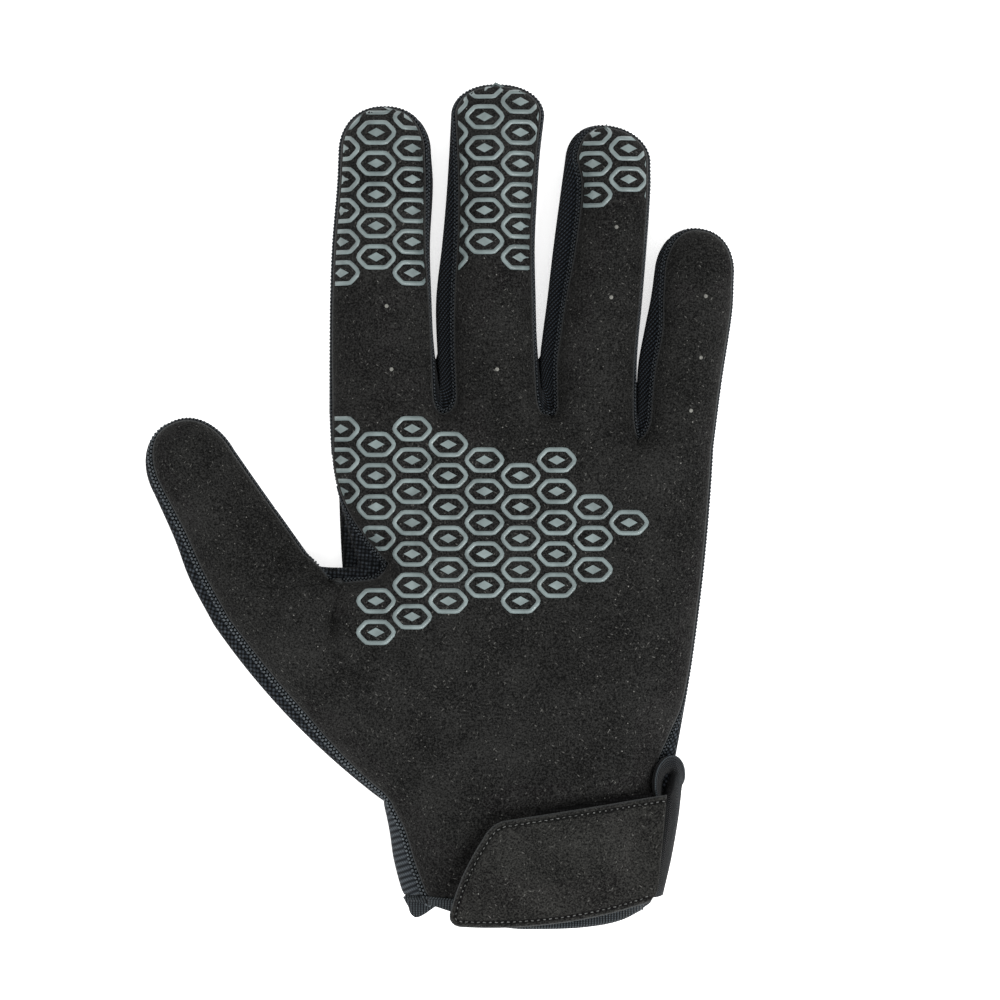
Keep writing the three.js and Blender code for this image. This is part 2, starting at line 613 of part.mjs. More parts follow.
// Solid of one panel: its faces, the same faces one wall further in, and the cut edge between them
function panelSolid(panel, wall) {
  const faces = skin.faces.filter((face) => face.panel === panel);
  const directed = new Map();
  for (const face of faces) {
    face.corners.forEach((a, k) => directed.set(`${a} ${face.corners[(k + 1) % 3]}`, face));
  }
  const edges = [];
  for (const [key, face] of directed) {
    const [a, b] = key.split(' ').map(Number);
    if (!directed.has(`${b} ${a}`)) edges.push([a, b, face]);
  }
  const insides = skin.points.map((point, k) => point.clone().addScaledVector(outward[k], -wall));
  const used = [...new Set(faces.flatMap((face) => face.corners))];
  const number = new Map(used.map((k, i) => [k, i]));
  const position = [];
  for (const points of [skin.points, insides]) {
    const shifts = drawnBack(faces, edges, points);
    for (const k of used) {
      const { x, y, z } = shifts.has(k) ? points[k].clone().add(shifts.get(k)) : points[k];
      position.push(x, y, z);
    }
  }
  const outer = (k) => number.get(k);
  const inner = (k) => number.get(k) + used.length;
  const triangles = [];
  for (const { corners: [a, b, c] } of faces) {
    triangles.push(outer(a), outer(b), outer(c), inner(a), inner(c), inner(b));
  }
  // Both panels at a seam split its cut in the same way, so that they stay clear where it twists
  for (const [a, b] of edges) {
    const split = a < b ? [outer(b), inner(a)] : [outer(a), inner(b)];
    triangles.push(outer(b), outer(a), split[1], split[0], inner(a), inner(b));
  }
  return solidFrom(position, triangles);
}

function solidFrom(position, triangles) {
  const geometry = new THREE.BufferGeometry();
  geometry.setAttribute('position', new THREE.Float32BufferAttribute(position, 3));
  geometry.setIndex(triangles);
  geometry.computeVertexNormals();
  return geometry;
}

// Plate between two grids of points, one over the other, closed round its edge
function plate(lower, upper) {
  const columns = lower[0].length;
  const all = [...lower.flat(), ...upper.flat()];
  const position = all.flatMap(({ x, y, z }) => [x, y, z]);
  const at = (level, i, j) => (level * lower.length + i) * columns + j;
  const triangles = [];
  const quad = (a, b, c, d) => triangles.push(a, b, c, a, c, d);
  const [rowsEnd, columnsEnd] = [lower.length - 1, columns - 1];
  for (let i = 0; i < rowsEnd; i += 1) {
    for (let j = 0; j < columnsEnd; j += 1) {
      quad(at(1, i, j), at(1, i, j + 1), at(1, i + 1, j + 1), at(1, i + 1, j));
      quad(at(0, i, j), at(0, i + 1, j), at(0, i + 1, j + 1), at(0, i, j + 1));
    }
    quad(at(0, i, 0), at(1, i, 0), at(1, i + 1, 0), at(0, i + 1, 0));
    quad(at(0, i + 1, columnsEnd), at(1, i + 1, columnsEnd), at(1, i, columnsEnd), at(0, i, columnsEnd));
  }
  for (let j = 0; j < columnsEnd; j += 1) {
    quad(at(0, 0, j + 1), at(1, 0, j + 1), at(1, 0, j), at(0, 0, j));
    quad(at(0, rowsEnd, j), at(1, rowsEnd, j), at(1, rowsEnd, j + 1), at(0, rowsEnd, j + 1));
  }
  return solidFrom(position, triangles);
}

// Strap: its corners in plan, from its end at the little-finger edge of the wrist
const strapEnd = {
  x: wristMiddle + wristRows[wristRowCount].right * wristWidth - strapInset,
  y: wristHeight + strapRise,
};
const strapRun = strapLength - strapSlant / 2;
const hookEnd = 1 - (elasticTuck + 3 * seamGap) / strapRun;
const strapColumns = [0, 0.02, 0.06, 0.13, 0.25, 0.4, 0.55, 0.7, 0.83, hookEnd, 1];
const strapSteps = [0, 0.15, 0.4, 0.65, 0.85, 1];
const hookColumns = strapColumns.filter((along) => along > 0.2 && along < 1);
const hookSteps = [0.07, ...strapSteps.slice(1, -1), 1 + hookShow / strapWidth];
function strapPoint(along, up, rounded) {
  const fromEnd = (1 - along) * strapRun;
  const upper = turned(strapEnd, -fromEnd, 0, -strapTilt);
  const slant = mix(strapSlant, strapTaper, along);
  const sag = strapSag * 4 * along * (1 - along);
  const lower = turned(strapEnd, -fromEnd - slant, -strapWidth - sag, -strapTilt);
  const near = Math.min(1, (along * strapRun) / strapCorner);
  const cut = rounded ? (strapCorner * (1 - Math.sqrt(1 - (1 - near) ** 2))) / strapWidth : 0;
  const share = mix(cut, 1 - cut, up);
  return { x: mix(lower.x, upper.x, share), y: mix(lower.y, upper.y, share) };
}
const seamNearStrap = rowsOf.front[wristRowCount - 1].right.x - strapShoulder;
const restHeight = (x, y) => frontHeight(Math.min(x, seamNearStrap), y) + strapClearance;

function strapPlate(rounded, columns, steps, base, thickness) {
  const lower = steps.map((up) => columns.map((along) => {
    const { x, y } = strapPoint(along, up, rounded);
    return { x, y, z: restHeight(x, y) + base };
  }));
  const upper = lower.map((row) => row.map(({ x, y, z }) => ({ x, y, z: z + thickness })));
  return plate(lower, upper);
}
const tabBase = hookThickness + seamGap;

// Elastic: from under the strap's end round the edge of the wrist, back to the back sheet's side
function elasticSolid() {
  const steps = 12;
  const bands = [0, 0.33, 0.67, 1];
  const elasticTurn = 2.2; // angle round the loop at which it has risen in full
  const inner = [];
  const outer = [];
  for (const up of bands) {
    const end = strapPoint(1, up, false);
    const topZ = restHeight(end.x, end.y) + hookThickness / 2;
    const lowZ = elasticFloor;
    const middleZ = (topZ + lowZ) / 2;
    const halfZ = (topZ - lowZ) / 2;
    const stand = elasticStand * mix(0.65, 1, up);
    const path = [{ x: end.x - elasticTuck, z: topZ, rise: 0 }];
    for (let i = 0; i <= steps; i += 1) {
      const angle = (Math.PI * i) / steps;
      const turn = Math.min(1, angle / elasticTurn);
      const rise = elasticRise * Math.sin((turn * Math.PI) / 2) ** 1.4;
      path.push({ x: end.x + stand * Math.abs(Math.sin(angle)) ** 0.7, z: middleZ + halfZ * Math.cos(angle), rise });
    }
    const wall = elasticThickness / 2;
    const place = (i, off) => {
      const before = path[Math.max(i - 1, 0)];
      const after = path[Math.min(i + 1, path.length - 1)];
      const run = Math.hypot(after.x - before.x, after.z - before.z);
      const nx = -(after.z - before.z) / run;
      const nz = (after.x - before.x) / run;
      const lift = path[i].rise * mix(0.35, 1, up);
      return { x: path[i].x + nx * off, y: end.y + lift, z: path[i].z + nz * off };
    };
    inner.push(path.map((_, i) => place(i, -wall)));
    outer.push(path.map((_, i) => place(i, wall)));
  }
  return plate(inner, outer);
}

// Materials
const material = (color, roughness) => new THREE.MeshStandardMaterial({ color, roughness, metalness: 0 });
const suede = material('#22211f', 0.95);
const meshKnit = material('#1b1e22', 0.9);
const cordKnit = material('#16181b', 0.92);
const elasticKnit = material('#2a3036', 0.88);
const hookTape = material('#121315', 0.8);

// The glove, moved so that its origin is at the middle of the surface it lies on
const glove = new THREE.Group();
glove.name = 'motorcycle_glove';
const pieces = [
  ['palm_panel', panelSolid('palm_panel', suedeWall), suede],
  ['back_panel', panelSolid('back_panel', knitWall), meshKnit],
  ['wrist_rib', panelSolid('wrist_rib', ribWall), elasticKnit],
  ['gusset_thumb', panelSolid('gusset_thumb', knitWall), meshKnit],
  ['gusset_index_middle', panelSolid('gusset_index_middle', knitWall), cordKnit],
  ['gusset_middle_ring', panelSolid('gusset_middle_ring', knitWall), cordKnit],
  ['gusset_ring_little', panelSolid('gusset_ring_little', knitWall), cordKnit],
  ['cuff_binding', panelSolid('cuff_binding', bindingWall), elasticKnit],
  ['strap_tab', strapPlate(true, strapColumns, strapSteps, tabBase, strapThickness), suede],
  ['strap_hook', strapPlate(false, hookColumns, hookSteps, 0, hookThickness), hookTape],
  ['strap_elastic', elasticSolid(), elasticKnit],
];
for (const [name, geometry, finish] of pieces) {
  const mesh = new THREE.Mesh(geometry, finish);
  mesh.name = name;
  glove.add(mesh);
}
const bounds = new THREE.Box3().setFromObject(glove);
const centre = bounds.getCenter(new THREE.Vector3());
glove.position.set(-centre.x, -centre.y, -bounds.min.z);

export default glove;
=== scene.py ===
import math
import bmesh
import bpy
import numpy as np
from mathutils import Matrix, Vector, noise


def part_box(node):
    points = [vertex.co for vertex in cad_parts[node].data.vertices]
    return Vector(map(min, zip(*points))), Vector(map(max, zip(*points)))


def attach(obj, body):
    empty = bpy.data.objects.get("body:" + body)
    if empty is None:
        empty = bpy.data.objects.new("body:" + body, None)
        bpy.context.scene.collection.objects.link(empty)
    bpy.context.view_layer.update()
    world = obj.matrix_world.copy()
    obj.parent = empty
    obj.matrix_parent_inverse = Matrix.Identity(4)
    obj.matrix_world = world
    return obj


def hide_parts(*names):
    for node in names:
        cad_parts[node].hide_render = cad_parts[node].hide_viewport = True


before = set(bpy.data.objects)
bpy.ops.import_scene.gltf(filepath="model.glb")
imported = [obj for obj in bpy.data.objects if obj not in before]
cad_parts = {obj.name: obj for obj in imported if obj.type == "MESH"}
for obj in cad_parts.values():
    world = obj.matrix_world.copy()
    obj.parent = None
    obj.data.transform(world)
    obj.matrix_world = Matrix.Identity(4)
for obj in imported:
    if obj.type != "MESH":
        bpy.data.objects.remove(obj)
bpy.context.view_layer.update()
print("frame loaded")

# The glove's skin is worked out in millimetres in the hand's own frame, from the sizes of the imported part,
# and moved to the frame at the end by the strap's upper corner, which both share.
hand = {
    "palmLength": 138.5, "wristWidth": 75.6, "wristHeight": 32.6, "hemBow": 6.5, "littleCrotchDrop": 6.8,
    "thenarBulge": 2.7, "palmEdgeBulge": 2.0, "fingerWeb": 15.0, "thumbWeb": 12.5, "crotchReach": 17.0,
    "thumbCrotchReach": 29.7, "outlineReach": 45.0, "thumbWebRise": -1.5,
    "thumbRowSag": 4.6, "backInset": 2.4, "sideReveal": 4.4,
    "crownHeight": 11.4, "crownRun": 16.0, "backRun": 5.5, "tipPower": 0.87, "hemRun": 40.0,
    "thumbRoot": (-0.167, 0.645), "thumbCrotch": (0.154, 0.71), "wristMiddle": 0.51, "splitShare": 0.16,
    "webMiddleFinger": 0.45, "webMiddleThumb": 0.6, "seamGap": 0.3, "crotchRound": 5.5,
}
seamHeight = {"front": 8.5, "outline": 0.0, "back": 3.4}
palmHeight = {"front": 9.5, "outline": 0.0, "back": 3.4}
crotchHeight = {"front": 12.0, "outline": 0.0, "back": 5.0}
noseHeight = {"front": 7.4, "outline": 0.0, "back": 3.6}
noseInset = {"front": 0.5, "outline": 0.0, "back": 2.4}
lines = ("front", "outline", "back")


def columns(names, rows):
    return [dict(zip(names, row)) for row in rows]


wristRows = columns(("up", "left", "right", "riseLeft", "riseRight", "bendLeft", "bendRight"), [
    (0, -0.415, 0.44, 1.06, 0.9, 0.7, 5.0), (0.16, -0.434, 0.472, 0.5, 0.9, 0.1, 4.5),
    (0.42, -0.468, 0.489, 0.6, 0.7, 0.8, 2.4), (0.72, -0.485, 0.497, 0.4, 0.5, 1.6, 1.6),
    (1, -0.507, 0.507, 0.2, 0.2, 1.6, 1.6)])
revealRows = columns(("row", "left", "right"), [
    (0, 1.36, 0.57), (1, 1.48, 0.6), (3, 1.02, 0.68), (4, 0.5, 0.73), (5, 0.55, 1.1), (6, 0.75, 0.7),
    (7, 0.95, 0.2), (10, 1, 0.14), (15, 0.14, 0.14)])
outlineNames = ("at", "left", "right", "showLeft", "showRight")
digits = {
    "thumb": {"width": 31.9, "length": 53.5, "tip": 0.278, "lean": -29.5, "skew": 0, "outline": columns(
        outlineNames, [(0, 0.501, 0.504, 0.14, 0.02), (0.263, 0.489, 0.458, 0.135, 0.02),
                       (0.48, 0.432, 0.419, 0.11, 0.02), (0.722, 0.394, 0.381, 0.085, 0.02)])},
    "index": {"width": 30.9, "length": 83.2, "tip": 0.149, "lean": 0.3, "skew": 0, "outline": columns(
        outlineNames, [(0, 0.5, 0.434, 0.03, 0.015), (0.208, 0.499, 0.41, 0.02, 0.015),
                       (0.37, 0.497, 0.39, 0.02, 0.018), (0.549, 0.482, 0.374, 0.02, 0.035),
                       (0.744, 0.441, 0.397, 0.02, 0.06), (0.851, 0.43, 0.378, 0.02, 0.05)])},
    "middle": {"width": 27.1, "length": 89.1, "tip": 0.094, "lean": 1.1, "skew": 0, "outline": columns(
        outlineNames, [(0, 0.525, 0.47, 0.16, 0.03), (0.194, 0.577, 0.423, 0.17, 0.03),
                       (0.345, 0.596, 0.399, 0.18, 0.03), (0.512, 0.547, 0.379, 0.15, 0.03),
                       (0.648, 0.515, 0.39, 0.12, 0.03), (0.785, 0.494, 0.411, 0.08, 0.03),
                       (0.906, 0.482, 0.449, 0.04, 0.03)])},
    "ring": {"width": 25.4, "length": 81.5, "tip": 0.119, "lean": 3.4, "skew": 0.1, "outline": columns(
        outlineNames, [(0, 0.532, 0.479, 0.18, 0.025), (0.203, 0.582, 0.45, 0.18, 0.025),
                       (0.3, 0.568, 0.453, 0.185, 0.025), (0.4, 0.545, 0.466, 0.19, 0.025),
                       (0.598, 0.508, 0.481, 0.23, 0.025), (0.796, 0.461, 0.486, 0.21, 0.025),
                       (0.881, 0.44, 0.469, 0.12, 0.025)])},
    "little": {"width": 20.3, "length": 57.3, "tip": 0.212, "lean": 5.8, "skew": 0, "outline": columns(
        outlineNames, [(0, 0.553, 0.513, 0.2, 0.02), (0.294, 0.597, 0.536, 0.23, 0.02),
                       (0.507, 0.552, 0.568, 0.23, 0.02), (0.649, 0.513, 0.58, 0.16, 0.02),
                       (0.788, 0.499, 0.555, 0.13, 0.02)])},
}
# Folds and creases of the suede: place across the knuckles and up the palm as shares, turn in degrees,
# half length, half width and height in mm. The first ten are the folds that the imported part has.
folds = [
    (0.015, 0.6, 84, 9, 3.5, -2.6), (-0.1, 0.57, 62, 17, 9, 2.2), (-0.13, 0.72, 72, 7, 3.5, -1.4),
    (0.5, 0.62, 70, 34, 20, -2.2), (0.16, 1.05, 4, 9, 4, -0.9), (0.43, 1.06, -3, 8, 4, -1.1),
    (0.43, 1.25, 3, 8, 4, -0.9), (0.69, 1.16, 6, 8, 4, -1), (0.91, 0.98, 8, 7, 4, -0.9),
    (0.42, 0.3, 12, 22, 5, -1.2),
]
creases = [
    (-0.125, 0.735, 74, 6, 1.6, -2.0), (-0.085, 0.69, 66, 5, 1.3, -1.3), (-0.14, 0.63, 40, 5, 1.8, -1.2),
    (0.012, 0.605, 84, 8.5, 1.2, -2.6), (0.04, 0.575, 75, 6, 1.6, 0.5), (-0.17, 0.79, 70, 4, 1.2, -0.5),
    (0.43, 1.245, 8, 7, 1.1, -0.55), (0.46, 1.19, -6, 6, 1.3, 0.3), (0.41, 1.04, -12, 7, 1.2, -0.6),
    (0.47, 1.015, -20, 6, 1.0, -0.35), (0.7, 1.21, 14, 7, 1.1, -0.6), (0.73, 1.155, 6, 7, 1.1, -0.45),
    (0.68, 1.05, 4, 6, 1.3, -0.4), (0.17, 1.13, 6, 8, 1.2, -0.4), (0.14, 1.02, -4, 9, 1.4, -0.35),
    (0.9, 1.08, 12, 5, 1.1, -0.45), (0.93, 0.93, 10, 6, 1.4, -0.4), (0.3, 0.93, -8, 12, 2.0, -0.35),
    (0.62, 0.9, 6, 13, 2.0, -0.3), (0.75, 0.45, 60, 14, 2.4, -0.35), (0.62, 0.35, 25, 14, 2.2, -0.3),
    (0.36, 0.42, 40, 12, 2.2, -0.3), (0.25, 0.33, 34, 12, 1.8, -0.35), (0.83, 0.3, 70, 6, 1.5, -0.6),
    (0.67, 0.245, 8.8, 22, 1.9, -1.7), (0.375, 0.145, 57, 11, 1.7, -1.5),
    (0.78, 0.24, 40, 6, 1.6, 0.4), (0.2, 0.235, 28, 9, 1.6, -0.4), (0.09, 0.52, 68, 9, 2.0, -0.4),
]
bodySteps = [0, 0.05, 0.12, 0.21, 0.34, 0.5, 0.66, 0.83, 1]
tipAngles = [25, 47, 66, 90]
thumbRow, knuckleRow, wristRowCount = 10, 15, 4
rowCells, sheetCellCount, stripCells = 6, 36, 10
gussetEndRow, thumbGussetEndRow = 10, 5
sheetCells = (1 - np.cos(np.pi * np.arange(sheetCellCount + 1) / sheetCellCount)) / 2

fingerNames = ("index", "middle", "ring", "little")
knuckleWidth = sum(digits[name]["width"] for name in fingerNames)
crotchDrop = {"index": 0, "middle": 0, "ring": hand["littleCrotchDrop"] / 2,
              "little": hand["littleCrotchDrop"]}
across = 0.0
for name in fingerNames:
    digit = digits[name]
    digit["start"] = across
    digit["root"] = (across + digit["width"] / 2, hand["palmLength"] - crotchDrop[name])
    across += digit["width"]


def placeOf(share):
    return (share[0] * knuckleWidth, share[1] * hand["palmLength"])


digits["thumb"]["root"] = placeOf(hand["thumbRoot"])
wristMiddle = hand["wristMiddle"] * knuckleWidth


def mix(a, b, share):
    return a + (b - a) * share


def turned(point, dx, dy, angle):
    a = math.radians(angle)
    return (point[0] + dx * math.cos(a) + dy * math.sin(a), point[1] - dx * math.sin(a) + dy * math.cos(a))


def spline(points, count):  # smooth run of points through the given ones, along the first axis
    last = len(points) - 1
    t = np.linspace(0, last, count)
    i = np.minimum(t.astype(int), last - 1)
    s = (t - i).reshape(-1, *[1] * (points.ndim - 1))
    ends = np.concatenate([[2 * points[0] - points[1]], points, [2 * points[-1] - points[-2]]])
    a, b, c, d = ends[i], ends[i + 1], ends[i + 2], ends[i + 3]
    return (2 * b + (c - a) * s + (2 * a - 5 * b + 4 * c - d) * s**2 + (3 * b - a - 3 * c + d) * s**3) / 2


def valueAt(rows, place, key, value):  # smooth value of one column of a table
    last = len(rows) - 1
    i = 0
    while i < last - 1 and value > rows[i + 1][place]:
        i += 1
    a, b, before, after = rows[i], rows[i + 1], rows[max(i - 1, 0)], rows[min(i + 2, last)]
    run = b[place] - a[place]
    s = min(1, max(0, (value - a[place]) / run))
    slopeA = (b[key] - before[key]) / (b[place] - before[place]) * run
    slopeB = (after[key] - a[key]) / (after[place] - a[place]) * run
    return ((2 * s**3 - 3 * s**2 + 1) * a[key] + (s**3 - 2 * s**2 + s) * slopeA
            + (3 * s**2 - 2 * s**3) * b[key] + (s**3 - s**2) * slopeB)


def outlinePoint(digit, side, at, angle, inward, nose):
    def out(key):
        return valueAt(digit["outline"], "at", key, at) * digit["width"]
    middleOff = (out("right") - out("left")) / 2 if angle else 0
    turn = math.radians(angle)
    reach = side * (out("left" if side < 0 else "right") - inward) - middleOff
    off = middleOff + reach * (0 if angle == 90 else math.cos(turn) ** hand["tipPower"])
    along = at * digit["length"] + (digit["tip"] * digit["length"] - nose) * math.sin(turn)
    if angle != 90:
        along -= digit["skew"] * off * math.sin(turn)
    return turned(digit["root"], off, along, digit["lean"])


def digitSide(digit, side, line, crotch, web, reach):  # one side of a digit, from its root to its tip
    bodyEnd = 1 - digit["tip"]
    show = "showLeft" if side < 0 else "showRight"
    start = {"front": 0, "outline": web / 2, "back": web}[line] / digit["length"] if crotch else 0
    steps = np.interp(np.arange(8 * rowCells + 1) / rowCells, range(9), bodySteps)
    angles = np.interp(np.arange(1, 4 * rowCells + 1) / rowCells, range(5), [0] + tipAngles)
    rows = [(mix(start, bodyEnd, step), 0.0) for step in steps] + [(bodyEnd, float(a)) for a in angles]
    rootHeight = crotchHeight[line] if crotch else palmHeight[line]
    points = []
    fades = []
    for at, angle in rows:
        inward = {"front": valueAt(digit["outline"], "at", show, at) * digit["width"], "outline": 0,
                  "back": hand["backInset"]}[line]
        x, y = outlinePoint(digit, side, at, angle, inward, noseInset[line])
        fade = min(1, (at - start) * digit["length"] / reach)
        height = mix(rootHeight, seamHeight[line], 1 - (1 - fade) ** 2)
        points.append([x, y, mix(height, noseHeight[line], math.sin(math.radians(angle)))])
        fades.append(fade)
    points = np.array(points)
    if crotch and crotch["path"]:  # seam of the thumb's gusset: drawn, and then along the thumb
        count = 2 * rowCells
        points[:count + 1, :2] = spline(np.array([*crotch["path"][line], points[count, :2]]), count + 1)
    elif crotch:
        left = (1 - np.array(fades)) ** 2
        if line == "front":
            near = np.minimum(1, (points[:, 1] - points[0, 1]) / crotch["round"])
            left = 1 - np.sqrt(np.maximum(0, 1 - (1 - near) ** 2))
        points[:, :2] += left[:, None] * (np.array(crotch[line][:2]) - points[0, :2])
    if crotch:
        points[0] = crotch[line]
    points[-1, :2] = outlinePoint(digit, 1, bodyEnd, 90, 0, noseInset[line])
    return points


def fingerCrotch(leftName, rightName, drop):
    left, right = digits[leftName], digits[rightName]
    front = np.array([right["start"], hand["palmLength"] - drop, crotchHeight["front"]])
    a = outlinePoint(left, 1, hand["fingerWeb"] / left["length"], 0, 0, 0)
    b = outlinePoint(right, -1, hand["fingerWeb"] / right["length"], 0, 0, 0)
    back = np.array([(a[0] + b[0]) / 2, front[1] + hand["fingerWeb"], crotchHeight["back"]])
    return {"front": front, "back": back, "outline": mix(front, back, hand["webMiddleFinger"]),
            "path": None, "round": hand["crotchRound"]}


thumbFront = np.array([*placeOf(hand["thumbCrotch"]), crotchHeight["front"]])
thumbBack = np.array([thumbFront[0] - hand["thumbWeb"], thumbFront[1] + hand["thumbWebRise"],
                      crotchHeight["back"]])
# The gusset's edges on the thumb, in mm from the front of the thumb's crotch
webPaths = {
    "front": [(0, 0), (-1.5, -2.9), (-3.8, -4.4), (-7.0, -4.7), (-10.3, -5.0), (-13.5, -5.4), (-15.7, -4.6),
              (-17.0, -2.6), (-18.2, -1.2), (-19.6, 0.2)],
    "outline": [(-7.5, -0.9), (-9.8, -1.2), (-12.1, -1.3), (-14.4, -1.3), (-16.6, -1.2), (-18.4, -1.0),
                (-19.6, -0.4), (-20.6, 1.0)],
    "back": [(-12.5, -1.5), (-14.0, -2.0), (-15.6, -2.1), (-17.2, -2.0), (-18.6, -1.6), (-19.8, -0.6),
             (-20.8, 0.8)],
}
crotches = {
    "thumb": {"front": thumbFront, "back": thumbBack,
              "path": {line: [thumbFront[:2] + np.array(spot) for spot in webPaths[line]] for line in lines},
              "outline": mix(thumbFront, thumbBack, hand["webMiddleThumb"])},
    "index": fingerCrotch("index", "middle", 0),
    "middle": fingerCrotch("middle", "ring", 0),
    "ring": fingerCrotch("ring", "little", hand["littleCrotchDrop"]),
}
sideRows = [("thumb", "Left", None), ("thumb", "Right", "thumb"), ("index", "Left", None),
            ("index", "Right", "index"), ("middle", "Left", "index"), ("middle", "Right", "middle"),
            ("ring", "Left", "middle"), ("ring", "Right", "ring"), ("little", "Left", "ring"),
            ("little", "Right", None)]
webOf = {None: 0, "thumb": 0, **dict.fromkeys(("index", "middle", "ring"), hand["fingerWeb"])}
sides = {line: {name + side: digitSide(digits[name], -1 if side == "Left" else 1, line, crotches.get(crotch),
                                       webOf[crotch], hand["crotchReach"])
                for name, side, crotch in sideRows} for line in lines}


def palmRows(line):  # left end, line below the thumb's crotch and right end of every row of the palm
    side, plain = sides[line], sides["outline"]
    height = palmHeight[line]

    def inwardAt(row, key):
        return {"front": valueAt(revealRows, "row", key, row) * hand["sideReveal"], "outline": 0,
                "back": hand["backInset"]}[line]

    def wristUp(row):
        return np.interp(row, range(5), [r["up"] for r in wristRows])

    def wristEnd(row, key):
        return wristMiddle + valueAt(wristRows, "up", key, wristUp(row)) * hand["wristWidth"]

    def wristY(row, x):
        up = wristUp(row)
        left, right = wristEnd(row, "left"), wristEnd(row, "right")
        share = min(1, max(0, (x - left) / (right - left)))
        side = "Left" if share < 0.5 else "Right"
        rise, bend = (valueAt(wristRows, "up", key + side, up) for key in ("rise", "bend"))
        t = abs(1 - 2 * share)
        return up * hand["wristHeight"] + hand["hemBow"] * rise * t**2 / (t**2 + bend * (1 - t))

    def wristPoint(row, key, sign, inward):
        x = wristEnd(row, key) - sign * inward
        return np.array([x, wristY(row, x), height])

    def splitPoint(row):
        a = wristPoint(row, "left", -1, inwardAt(row, "left"))
        b = wristPoint(row, "right", 1, inwardAt(row, "right"))
        point = mix(a, b, hand["splitShare"])
        point[1] = wristY(row, point[0])
        return point

    rows = []
    for row in np.arange(knuckleRow * rowCells + 1) / rowCells:
        entry = {"row": row}
        if row < wristRowCount:
            places = np.linspace(wristEnd(row, "left"), wristEnd(row, "right"), 65)
            entry["hem"] = (places, [wristY(row, x) for x in places], min(1, wristRowCount - row))
        if row <= wristRowCount:
            entry["left"] = wristPoint(row, "left", -1, inwardAt(row, "left"))
            entry["right"] = wristPoint(row, "right", 1, inwardAt(row, "right"))
        else:
            share = (row - wristRowCount) / (knuckleRow - wristRowCount)
            entry["right"] = mix(wristPoint(wristRowCount, "right", 1, 0), plain["littleRight"][0], share)
            entry["right"][0] += hand["palmEdgeBulge"] * 4 * share * (1 - share) - inwardAt(row, "right")
        if wristRowCount < row <= thumbRow:
            share = (row - wristRowCount) / (thumbRow - wristRowCount)
            foot, head = wristPoint(wristRowCount, "left", -1, 0), plain["thumbLeft"][0]
            run = math.hypot(head[0] - foot[0], head[1] - foot[1])
            push = hand["thenarBulge"] * 4 * share * (1 - share) - inwardAt(row, "left")
            entry["left"] = mix(foot, head, share)
            entry["left"][0] -= (head[1] - foot[1]) / run * push
            entry["left"][1] += (head[0] - foot[0]) / run * push
        if row <= thumbRow:
            if row <= wristRowCount:
                entry["split"] = splitPoint(row)
            else:
                share = (row - wristRowCount) / (thumbRow - wristRowCount)
                entry["split"] = mix(splitPoint(wristRowCount), crotches["thumb"][line], share)
            entry["split"][2] = height
        else:
            crotch, head = crotches["thumb"][line], side["indexLeft"][0]
            share = (row - thumbRow) / (knuckleRow - thumbRow)
            climb = 1 - (1 - share) ** 1.15
            entry["split"] = mix(crotch, head, climb)
            reach = hand["outlineReach"] if line == "outline" else hand["thumbCrotchReach"]
            fade = max(0, 1 - climb * (head[1] - crotch[1]) / reach) ** 2
            entry["split"][0] = mix(head[0], crotch[0], fade)
            entry["split"][2] = mix(head[2], crotch[2], fade)
        for key in ("left", "right"):
            if key in entry:
                entry[key][2] = height
        rows.append(entry)
    atThumb = thumbRow * rowCells
    rows[atThumb]["left"] = side["thumbLeft"][0]
    rows[atThumb]["split"] = crotches["thumb"][line]
    rows[-1]["split"] = side["indexLeft"][0]
    rows[-1]["right"] = side["littleRight"][0]
    shares = {"hem": [0.25, 0.5, 0.75], "thumb": [0.213, 0.5, 0.76]}
    atRow = [mix(rows[atThumb]["split"], rows[atThumb]["right"], share) for share in shares["thumb"]]
    for entry in rows:
        row = entry["row"]
        entry["inner"] = []
        for k, name in enumerate(("index", "middle", "ring")):
            if row >= thumbRow:
                point = mix(atRow[k], crotches[name][line], (row - thumbRow) / (knuckleRow - thumbRow))
            else:
                share = mix(shares["hem"][k], shares["thumb"][k], row / thumbRow)
                point = mix(entry["split"], entry["right"], share)
                if row <= wristRowCount:
                    point[1] = wristY(row, point[0])
            entry["inner"].append(point)
    return rows


rowsOf = {line: palmRows(line) for line in lines}


def palmColumn(line, key, first, last):
    rows = rowsOf[line][first * rowCells:last * rowCells + 1]
    return np.array([row["inner"][key] if isinstance(key, int) else row[key] for row in rows])


